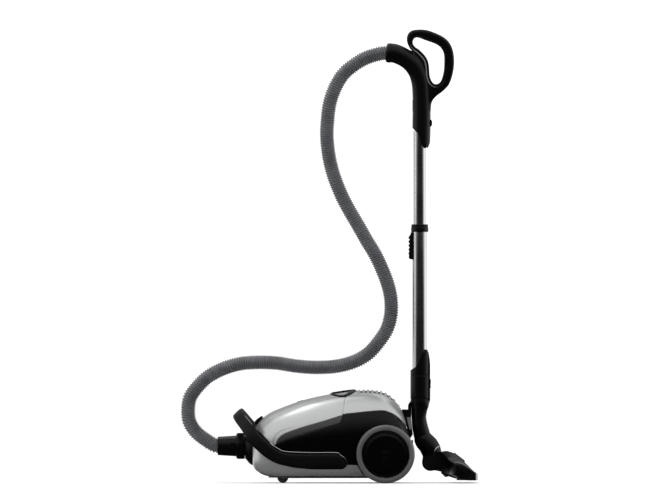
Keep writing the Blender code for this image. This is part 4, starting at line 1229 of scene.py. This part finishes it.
def make_handle():
    stem = curve_through(STEM[:-3] + CUFF_FLARE, 46).tolist()
    outer = curve_through(GRIP_OUTER, 72, closed=True)
    inner = curve_through(GRIP_INNER, 60, closed=True)
    slant = rounded([(150, 872), (159, 864), (171, 850), (179, 828), (187, 822), (194, 816),
                     (197, 821), (200, 830), (212, 830), (212, 780), (150, 780)], 2)
    start, tip = np.array(STEM[-1][:2]), np.array([math.sin(CUFF_LEAN), math.cos(CUFF_LEAN)])

    def field(x, y, z):
        bar = bent_tube(x, y, z, stem)
        hole = outline_distance(x, z, inner)
        loop = rounded_slab(np.maximum(outline_distance(x, z, outer), -hole), y, 13, 7.5)
        web = rounded_slab(outline_distance(x, z, GRIP_WEB), y, 13, 7.5)
        form = blend_min(bar, blend_min(loop, web, 3), 4)
        form = blend_max(form, -rounded_slab(hole, y, 60, 0.1), 3)
        face = np.abs(y)
        groove = np.hypot(hole - 5.6, (face - 12.6) * 0.8) - 1.5
        form = blend_max(form, -groove, 0.8)
        form = np.maximum(form, -outline_distance(x, z, slant))
        form = np.maximum(form, (x - start[0]) * tip[0] + (z - start[1]) * tip[1])
        bore = np.maximum(np.hypot(x - WAND_X, y) - BORE_R, z - 864)
        form = np.maximum(form, -bore)
        off = (x - start[0]) * tip[1] - (z - start[1]) * tip[0]
        mouth = np.sqrt(y ** 2 + off ** 2) - BORE_R
        deep = -((x - start[0]) * tip[0] + (z - start[1]) * tip[1]) - 12
        form = np.maximum(form, -np.maximum(mouth, deep))
        return np.maximum(form, -button_well(x, y, z, 197.2, 7.4, 877.5, 9.9))

    shape = surface_net(field, (100, -25, 812), (262, 25, 1108), 1.5)
    piece("handle_form", shape, "wand_upper", "satin", "handle_body", angle=42)
    # Painted highlight: grey strips beside the loop's hole stand in for the light that the groove
    # there catches.
    path = spread(offset(inner, -8.2), 160, closed=True)
    keep = (path[:, 0] < 219) & (path[:, 1] < 1072)
    first = int(np.argmax(keep & ~np.roll(keep, 1)))
    path = np.roll(path, -first, 0)[:keep.sum()]
    thin = 1.6 * np.clip(steps_from_ends(len(path)) / 12, 0.15, 1)
    reach = surface_reach(field, path, 2.0)
    for side, tag in SIDES:
        line = eased(np.stack([path[:, 0], side * (reach - 0.25), path[:, 1]], 1), 3)
        strip("grip_line_" + tag, line, thin, 12, "wand_upper", "grey_inlay_and_painted_highlight", up=(0, 1.0, 0))
    latch = rounded([(198.6, 868), (201.8, 868), (205.2, 873), (205.2, 882), (201.8, 887),
                     (198.6, 887)], 1.2)
    block("handle_latch_cap", latch, 7, "handle_latch", "gloss", "handle_latch_button", 0.9)
    relief = [(157.5, 905)]
    for k in range(6):
        base = 909.5 + 4.4 * k
        relief += [(157.5, base - 2.0), (156.7, base - 1.2), (156.7, base + 0.4),
                   (157.5, base + 1.2)]
    relief += [(157.5, 935), (158.8, 935), (158.8, 905)]
    block("air_relief_cap", relief, 7, "air_relief", "satin", "air_relief_slider", 0.3, 2)


# ---------------------------------------------------------------- wand

def pipe(name, x, r_out, r_in, z0, z1, look, body, stands_for):
    profile = [(r_out, z1 - z0), (r_out, 0), (r_in, 0), (r_in, z1 - z0)]
    piece(name, lathe_shape(profile, (x, 0, z0), "Z", 128, 0.6), body, look, stands_for)


def make_wand():
    pipe("upper_pipe", WAND_X, UPPER_R, 14.8, 392, 858, "tube", "wand_upper", "upper_tube")
    pipe("lower_pipe", WAND_X, LOWER_R, 16.5, 206, 618, "tube", "wand_lower", "lower_tube")
    collar = [(19.4, 18.6), (20.4, 17.6), (20.9, 13.4), (20.3, 12.8), (20.3, 11.8), (21.0, 11.2),
              (21.4, 8.0), (21.4, 2.0), (20.8, 0), (19.1, 0), (19.1, 6.5), (16.6, 6.5),
              (16.6, 18.6)]
    piece("telescope_ring", lathe_shape(collar, (WAND_X, 0, 612), "Z", 96, 0.5), "wand_lower",
          "satin", "telescope_collar")
    bed = rounded([(WAND_X - 27, 548), (WAND_X - 22, 545), (WAND_X - 10, 545),
                   (WAND_X - 10, 611.6), (WAND_X - 22, 611.6)], 2.0)
    form = carve(prism_shape(bed, -11, 11), round_cut((WAND_X, 0, 580), "Z", 19.1, 60),
                 box_shape((140, WAND_X - 22.4), (-8.4, 8.4), (553, 620)))
    soft_edges(piece("telescope_seat", form, "wand_lower", "satin", "telescope_bed"), 0.9)
    face = WAND_X - 27.2
    line = [(WAND_X - 22.8, 555), (face + 2, 555)]
    for k in range(5):
        base = 557.0 + 9.6 * k
        line += [(face, base), (face - 0.3, base + 2.5), (face, base + 5), (face + 2.2, base + 6),
                 (face + 2.2, base + 8.6)]
    line += [(face + 2.2, 605), (WAND_X - 22.8, 605)]
    block("telescope_slide", rounded(line, 0.7, steps=3), 8, "telescope_slide", "gloss",
          "telescope_button", 0.8)


# ---------------------------------------------------------------- floor tool

NECK = [
    # centre x, centre z, radius
    (175.5, 196.7, 22.4), (175.5, 192, 21.8), (174.5, 184, 20.2), (173.0, 170, 18.6),
    (173.0, 157, 18.0), (175.0, 140, 19.0), (179.5, 120, 20.2), (183.2, 107, 20.6),
    (184.4, 104.6, 22.6), (190.0, 98, 23.4), (196.4, 90.8, 24.0), (201.5, 81, 24.2),
    (204.5, 71.5, 23.4), (203.0, 58, 20.5),
]
HEAD = [
    # x, z of the side outline in the middle of the tool, from the lower lip over the top
    (309, 7), (313.6, 9), (313.6, 22), (309, 26.5), (297, 38), (286, 49), (275, 59), (263, 69),
    (252, 75), (240, 78), (227, 76), (227, 22), (240, 17.5), (254, 13), (275, 7),
]
HEAD_TIP, HEAD_HEEL = 313.6, 227.0         # x of HEAD's front and back
HEAD_LIP = 22                              # above this height HEAD is made lower to the sides
HEAD_SPAN = [
    # y, height of the top, x of the back
    (135, 0.42, 262), (130, 0.5, 257), (112, 0.56, 251), (84, 0.6, 247), (60, 0.68, 243),
    (46, 0.84, 236), (36, 1.0, 227),
]


def make_sleeve():
    slant = rounded([(140, 272), (152.5, 274.7), (164.6, 282.8), (173, 300), (182, 319),
                     (192.7, 326.5), (197.3, 315.3), (199.4, 300), (200.6, 286), (214, 284),
                     (214, 350), (140, 350)], 3)
    hook = rounded([(146.2, 161), (154.2, 161), (154.2, 189), (160, 197.4), (150, 197.4),
                    (146.2, 189)], 1.5)
    seat = WAND_X + 0.7

    def field(x, y, z):
        r = np.hypot(x - seat, y)
        flare = 23.6 - 0.9 * np.clip((214 - z) / 14, 0, 1) ** 2
        form = np.maximum(r - flare, np.maximum(194.6 - z, z - 327.2))
        form = np.maximum(form, -np.maximum(r - 22.9, z - 197.6))
        spine = np.maximum(np.maximum(x - 200.3, 190 - x),
                           np.maximum(np.abs(y) - 10.5, np.maximum(200 - z, z - 327)))
        form = blend_min(form, spine, 2.5)
        for level in (262.0, 203.5):
            form = blend_max(form, 0.8 - np.hypot(r - flare, z - level), 0.5)
        groove = np.abs(np.abs(y) - 12.4) - 0.5
        groove = np.maximum(groove, np.maximum(185 - x, -(r - flare + 0.8)))
        form = np.maximum(form, -groove)
        form = np.maximum(form, -outline_distance(x, z, slant))
        form = blend_min(form, rounded_slab(outline_distance(x, z, hook), y, 9.2, 1.2), 1.0)
        form = np.maximum(form, 19.1 - np.hypot(x - WAND_X, y))
        return np.maximum(form, -button_well(x, y, z, 194.0, 7.6, 242, 13.6))

    shape = surface_net(field, (143, -26, 158), (203, 26, 334), 1.3)
    piece("sleeve_form", shape, "wand_lower", "satin", "neck_sleeve", angle=42)
    cuff = [(22.55, 0), (23.5, 0), (23.8, 0.9), (23.8, 6.4), (22.55, 6.4)]
    piece("sleeve_cuff", lathe_shape(cuff, (seat, 0, 193.8), "Z", 96, 0.25), "wand_lower", "satin")
    latch = rounded([(196.5, 229), (199.6, 229), (202.2, 233), (201.3, 239), (202.2, 245),
                     (202.2, 251), (199.6, 255), (196.5, 255)], 1.2)
    block("neck_latch_cap", latch, 7, "neck_latch", "gloss", "neck_latch_button", 0.9)


def make_neck():
    rows = curve_through(NECK, 130)
    reach = travel(rows[:, :2])
    knuckle = np.clip((reach - 95) / 3, 0, 1) * np.clip((124 - reach) / 3, 0, 1)
    rows[:, 2] += knuckle * 0.5 * np.sin(2 * math.pi * reach / 4.6)
    rows = rows.tolist()
    bore = [(175.5, 205, 14.5), (175.0, 180, 14.5), (173.0, 157, 14.5), (179.5, 122, 14.5),
            (195.5, 84, 14.5), (204.0, 56, 14.5), (226.0, 44, 14.5)]

    def field(x, y, z):
        form = np.maximum(bent_tube(x, y, z, rows), z - 196.6)
        form = np.maximum(form, np.abs(y) - 21.9 - np.clip((z - 67) * 0.7, 0, 9))
        flat = np.hypot(x - PITCH_X, z - PITCH_Z) - BARREL_R
        form = blend_min(form, rounded_slab(flat, y, 21.8, 2.0), 4)
        for across in (-12.0, 12.0):
            ring = np.hypot(flat, y - across) - 0.9
            form = blend_max(form, -ring, 0.5)
        return np.maximum(form, -bent_tube(x, y, z, bore))

    shape = surface_net(field, (152, -26, 27), (226, 26, 198), 1.3)
    piece("elbow_form", shape, "nozzle_neck", "satin", "neck_elbow", angle=42)
    arc = curve_through([(225.6, 90.4), (220.5, 88.6), (214.9, 84.4), (211.2, 78), (209.1, 70.4)],
                        60)
    reach = np.maximum(surface_reach(field, arc, 0.0), 4.0)
    for side, tag in SIDES:
        line = eased(np.stack([arc[:, 0], side * reach, arc[:, 1]], 1), 6)
        strip("swivel_arc_" + tag, line, tapered(1.25, 60, 0.25), 14, "nozzle_neck", "chrome",
              "swivel_ring" if side < 0 else (), up=(0, 1.0, 0))


def head_rings():
    """The head's sections across the tool, lower and shorter towards its ends."""
    outline = rounded(HEAD, 2.2, steps=3)
    flat_x, flat_z = outline[:, 0], outline[:, 1]
    half = curve_through(np.array(HEAD_SPAN, float), 60)
    rows = np.vstack([half * [-1, 1, 1], half[::-1]])
    rings = []
    for y, tall, back in rows:
        scale = (HEAD_TIP - back) / (HEAD_TIP - HEAD_HEEL)
        px = HEAD_TIP - (HEAD_TIP - flat_x) * scale
        pz = np.where(flat_z > HEAD_LIP, HEAD_LIP + (flat_z - HEAD_LIP) * tall, flat_z)
        tuck = max(0.0, abs(y) - 131.0) / 4.0
        keep = 1 - 0.075 * (1 - math.sqrt(max(0.0, 1 - tuck * tuck)))
        mid_x, mid_z = (back + HEAD_TIP) / 2, 20.0
        rings.append(np.stack([mid_x + (px - mid_x) * keep, np.full(len(px), y),
                               mid_z + (pz - mid_z) * keep], 1))
    return np.array(rings)


def pedal_outline(grow, high, deep):
    """The floor pedal's sloping plate, longer by `grow`, up to `high` and down by `deep` more."""
    along = np.array([31.0, -24.2]) / math.hypot(31.0, 24.2)
    up = np.array([-along[1], along[0]])
    mid = np.array([270.5, 61.5]) + up * 0.6
    reach = 17.0 + grow
    return [tuple(mid + along * a + up * b) for a, b in
            ((-reach, high), (reach, high), (reach, -2.2 - deep), (-reach, -2.2 - deep))]


def make_head():
    arms = []
    for side in (-1, 1):
        y = sorted((side * 22.6, side * 33.5))
        turn = np.radians(np.linspace(90, 270, 25))
        arm = list(zip(PITCH_X + 17 * np.cos(turn), PITCH_Z + 17 * np.sin(turn)))
        arm += [(236, 26), (236, 70), (225, 72)]
        arms.append(("UNION", prism_shape(arm, *y)))
    cuts = [
        box_shape((263.6, 306.4), (-122.4, 122.4), (0, 12.8)),
        box_shape((276, 292), (-100, 100), (10, 24)), box_shape((214, 284), (-15, 15), (20, 42)),
        box_shape((294.4, 302.6), (-112, 112), (10, 22)),
        box_shape((230.5, 247.5), (-11, 11), (0, 29.5)),
        prism_shape(pedal_outline(1.3, 9, 3.2), -29.3, 29.3),
    ]
    rings = head_rings()
    form = carve(rings_shape(rings), *arms, *cuts)
    piece("head_form", form, "nozzle", "satin", "nozzle_body", angle=38)
    # Painted highlight: a thin grey strip along the head's side crest stands in for the light
    # caught by its lip.
    ring = rings[np.argmin(np.abs(rings[:, 0, 1] - 130.5))]
    crest = ring[(ring[:, 2] > 23) & (ring[:, 0] > 258)]
    crest = crest[np.argsort(crest[:, 0])]
    flat = curve_through(crest[:, [0, 2]], 120)
    for side, tag in SIDES:
        line = np.stack([flat[:, 0], np.full(120, side * 130.4), flat[:, 1]], 1)
        strip("head_lip_" + tag, line, tapered(1.5, 120, 0.2), 14, "nozzle", "grey_inlay_and_painted_highlight",
              up=(0, 1.0, 0.3))
    ribs = pedal_outline(0, 2.2, 0)
    pedal = rounded(ribs, 1.2)
    treads = []
    along = (np.array(ribs[1]) - np.array(ribs[0])) / 34.0
    up = np.array([-along[1], along[0]])
    for k in range(6):
        at = np.array(ribs[0]) + along * (5 + 4.8 * k)
        turn = np.linspace(0, math.pi, 9)
        bead = [tuple(at + along * 1.1 * math.cos(t) + up * (0.9 * math.sin(t) - 0.15))
                for t in turn]
        treads.append(prism_shape(bead, -22, 22))
    block("pedal_plate", pedal, 28, "pedal", "gloss", "floor_pedal", 0.8)
    piece("pedal_treads", joined(*treads), "pedal", "satin")
    edge = rounded([(313.9, 7.4), (314.8, 8.4), (314.8, 21.4), (313.9, 22)], 0.3)
    cap = rounded([(310.2, 7.2), (313.9, 7.2), (314.8, 8.4), (314.8, 22), (313.0, 24.6),
                   (310.2, 26.0)], 0.6)
    band = carve(prism_shape(edge, -134.2, 134.2),
                 *[("UNION", prism_shape(cap, *sorted((s * 132.6, s * 135.2)))) for s in (-1, 1)])
    soft_edges(piece("edge_strip", band, "nozzle", "edge", "nozzle_edge_strip"), 0.25, 2)
    roller = [(0, 10), (6, 10), (7, 9), (7, 3), (6.5, 2.4), (6.5, -2.4), (7, -3), (7, -9),
              (6, -10), (0, -10)]
    piece("roller_tread", lathe_shape(roller, (239, 0, 21.0), "Y", 56, 0.4), "roller", "tread",
          "nozzle_roller")


make_bumper()
make_trim("chrome_trim_near", -1)
make_trim("chrome_trim_far", 1)
make_inlet()
make_bracket()
make_outlet()
make_wheel(-1, "near")
make_wheel(1, "far")
make_caster()
make_connector()
make_hose_collar()
make_handle()
make_wand()
make_sleeve()
make_neck()
make_head()


# ---------------------------------------------------------------- insides

def make_dust_bag():
    """Folded paper bag: side gussets, crumpled faces and a round mouth on the inlet."""
    rows = curve_through([(-198.6, 35), (-196, 26), (-190, 19), (-165, 16.4), (-122, 16.2),
                          (-81, 16.4), (-54, 20), (-47, 27), (-44.4, 36)], 74)
    rings = []
    for x, inset in rows:
        ring = body_rings([x], inset, 150, 44)[0]
        y, z = ring[:, 1], ring[:, 2]
        out = ring - (x, 0.0, 95.0)
        reach = np.linalg.norm(out, axis=1)[:, None]
        gusset = 9.0 * np.exp(-((z - 96) / 11) ** 2) * np.clip((np.abs(y) - 50) / 25, 0, 1)
        fold = 0.9 * np.abs(np.sin(x / 9.0 + y / 23.0)) + 0.8 * np.abs(np.sin(x / 15.0 - z / 12.0))
        fold += 0.6 * np.abs(np.sin((x + y * 1.7) / 6.5 + np.sin(z / 9.0)))
        ends = np.clip(np.minimum(x + 198.6, -44.4 - x) / 14, 0, 1)
        inward = (gusset * ends + fold * (0.3 + 0.7 * ends))[:, None]
        ring[:, 1:] -= (out / reach * inward)[:, 1:]
        rings.append(ring)
    form = carve(rings_shape(rings), round_cut((-199, 0, INLET_Z), "X", 17.2, 9))
    piece("dust_bag_paper", skin(open_surface(form, 0.05), 0.9, 0.25), "canister", "paper",
          "dust_bag", angle=50)
    card = [(30, 1.1), (30, -1.1), (17.4, -1.1), (17.4, 1.1)]
    piece("dust_bag_card", lathe_shape(card, (-200.6, 0, INLET_Z), "X", 72, 0.4), "canister",
          "moulded")


def zigzag(count, first, second):
    return np.where(np.arange(count) % 2 == 0, first, second)


def make_filters():
    """Pleated fleece in moulded frames, before the motor and under the exhaust grille."""
    y = np.arange(-106, 106.1, 2.5)
    zig = zigzag(len(y), -32.6, -28.0)
    fold = [(a, b) for a, b in zip(zig, y)] + [(a + 0.8, b) for a, b in zip(zig[::-1], y[::-1])]
    fleece = carve(column_shape(fold, 20, 215), ("INTERSECT", body_shape(17.4)))
    piece("motor_filter_pleats", fleece, "canister", "fleece", "motor_filter", angle=25)
    frame_form = carve(body_shape(13.2), ("INTERSECT", box_shape((-33.8, -26.2), (-150, 150),
                                                                  (0, 260))), body_shape(17.2))
    soft_edges(piece("motor_filter_frame", frame_form, "canister", "moulded"), 0.6)
    x = np.arange(33.0, 103.1, 2.0)
    zig = zigzag(len(x), 165.0, 178.2)
    fold = [(a, b) for a, b in zip(x, zig)] + [(a, b + 0.9) for a, b in zip(x[::-1], zig[::-1])]
    piece("exhaust_filter_pleats", prism_shape(fold, -41.6, 41.6), "canister", "fleece",
          "exhaust_filter", angle=25)
    rim = carve(box_shape((30.2, 105.8), (-43.8, 43.8), (163.2, 180.8)),
                box_shape((32.4, 103.6), (-41.4, 41.4), (150, 190)))
    soft_edges(piece("exhaust_filter_frame", rim, "canister", "moulded"), 0.7)


def make_bristles():
    """Rows of tapered hair tufts in a strip, in front of the suction slot."""
    hairs = []
    turn = full_turn(5)
    for k in range(45):
        for i in range(11):
            a = 2.4 * i + 0.7 * k
            r = 0.32 * math.sqrt(i)
            x, y = 298.5 + r * 1.15 * math.cos(a), -108.9 + 4.95 * k + r * math.sin(a)
            lean_x, lean_y = 0.75 * r * math.cos(a), 1.0 * r * math.sin(a)
            low = 8.3 + 0.35 * abs(math.sin(5.1 * i + 2.3 * k))
            rings = [[(x + lean_x * t + w * math.cos(q), y + lean_y * t + w * math.sin(q), z)
                      for q in turn]
                     for t, z, w in ((0, 14.2, 0.24), (0.45, 11.4, 0.22), (1, low, 0.1))]
            hairs.append(rings_shape(rings))
    piece("bristle_tufts", joined(*hairs), "brush", "hair", "brush_strip")
    soft_edges(piece("bristle_base", box_shape((296.0, 301.0), (-110.9, 110.9), (13.4, 15.3)),
                     "brush", "moulded"), 0.5)


def finish_nodes():
    """Better materials and softened edges on the part's own solids that stay shown."""
    for name, look, width in (
            ("suction_slider", "satin", 0.8), ("hose_release_near", "gloss", 0.8),
            ("hose_release_far", "gloss", 0.8), ("axle_stub_near", "steel", 0.6),
            ("axle_stub_far", "steel", 0.6), ("caster_turret", "satin", 1.0),
            ("caster_pin", "steel", 0.3), ("bag_holder", "moulded", 1.0),
            ("motor_housing", "moulded", 1.2), ("motor_rotor", "steel", 0.8),
            ("cord_reel", "moulded", 1.0), ("sole_plate", "sole", 0.6)):
        obj = frame["nodes"][name]
        for slot in obj.material_slots:
            slot.material = LOOKS[look]
        soft_edges(obj, width, 3, 30)


make_dust_bag()
make_filters()
make_bristles()
finish_nodes()



# ---------------------------------------------------------------- studio

FLOOR_GLOW = 0.14                          # keeps the floor white where the sky is dark
FLOOR_REACH = 90                           # metres from the middle to the floor's edge


def make_studio():
    """A wide pale floor that doesn't show in reflections."""
    floor_mat = new_look("pale_floor", (0.95, 0.95, 0.95), 0.7, specular=0.15)
    shader = shader_of(floor_mat)
    shader["Emission Color"].default_value = (1, 1, 1, 1)
    shader["Emission Strength"].default_value = FLOOR_GLOW
    link(floor_mat, bump(floor_mat, noise(floor_mat, 400), 0.03, 0.2), shader["Normal"])
    x = np.linspace(-FLOOR_REACH, FLOOR_REACH, 10)
    rings = np.array([[(a, b, 0.0) for b in x] for a in x]) / MM
    verts, faces = rings_shape(rings, ends=False, around=False)
    mesh = raw_mesh("floor", verts, faces)
    mesh.shade_smooth()
    mesh.materials.append(floor_mat)
    floor = bpy.data.objects.new("floor", mesh)
    bpy.context.scene.collection.objects.link(floor)
    floor.visible_glossy = False


def softbox(name, spot, aim, size, power):
    lamp = bpy.data.lights.new(name, "AREA")
    lamp.shape = "RECTANGLE"
    lamp.size, lamp.size_y = size
    lamp.energy = power
    obj = bpy.data.objects.new(name, lamp)
    obj.location = spot
    obj.rotation_euler = (Vector(aim) - Vector(spot)).to_track_quat("-Z", "Y").to_euler()
    bpy.context.scene.collection.objects.link(obj)


def light_world():
    """A pale sky, dark low in front, below the horizon and in a band behind the object."""
    world = bpy.data.worlds.new("studio")
    world.use_nodes = True
    way = node(world, "TexCoord").outputs["Generated"]
    facing = node(world, "VectorMath", Operation="DOT_PRODUCT")
    link(world, way, facing.inputs[0])
    facing.inputs[1].default_value = Vector((0.06, -1.0, -1.1)).normalized()
    parts = node(world, "SeparateXYZ")
    link(world, way, parts.inputs[0])
    across, height = parts.outputs["Y"], parts.outputs["Z"]

    def faded(value, *limits):
        return ramp(world, value, *limits, steps="SMOOTHSTEP")

    light = faded(facing.outputs["Value"], -0.12, 0.5, 1.18, 0.02)
    light = product(world, light, faded(height, -0.3, -0.02, 0.02, 1.0))
    above = faded(height, 0.04, 0.16, 0.0, 1.0)
    below_top = faded(height, 0.45, 0.8, 1.0, 0.0)
    band = product(world, faded(across, 0.1, 0.6, 0.0, 1.0), product(world, above, below_top))
    light = product(world, light, faded(band, 0.0, 1.0, 1.0, 0.3))
    back = world.node_tree.nodes["Background"]
    back.inputs["Color"].default_value = (1, 1, 1, 1)
    link(world, light, back.inputs["Strength"])
    bpy.context.scene.world = world


def light_studio():
    light_world()
    softbox("streak", (-0.9, 0.95, 3.0), (-0.15, 0, 0.2), (0.8, 0.16), 10)
    softbox("left", (-3.4, -0.5, 1.1), (0, 0, 0.5), (1.6, 2.6), 8)
    softbox("right", (2.9, 0.5, 0.9), (0.1, 0, 0.5), (3.4, 2.4), 14)
    bpy.context.scene.view_settings.view_transform = "Standard"


make_studio()
light_studio()
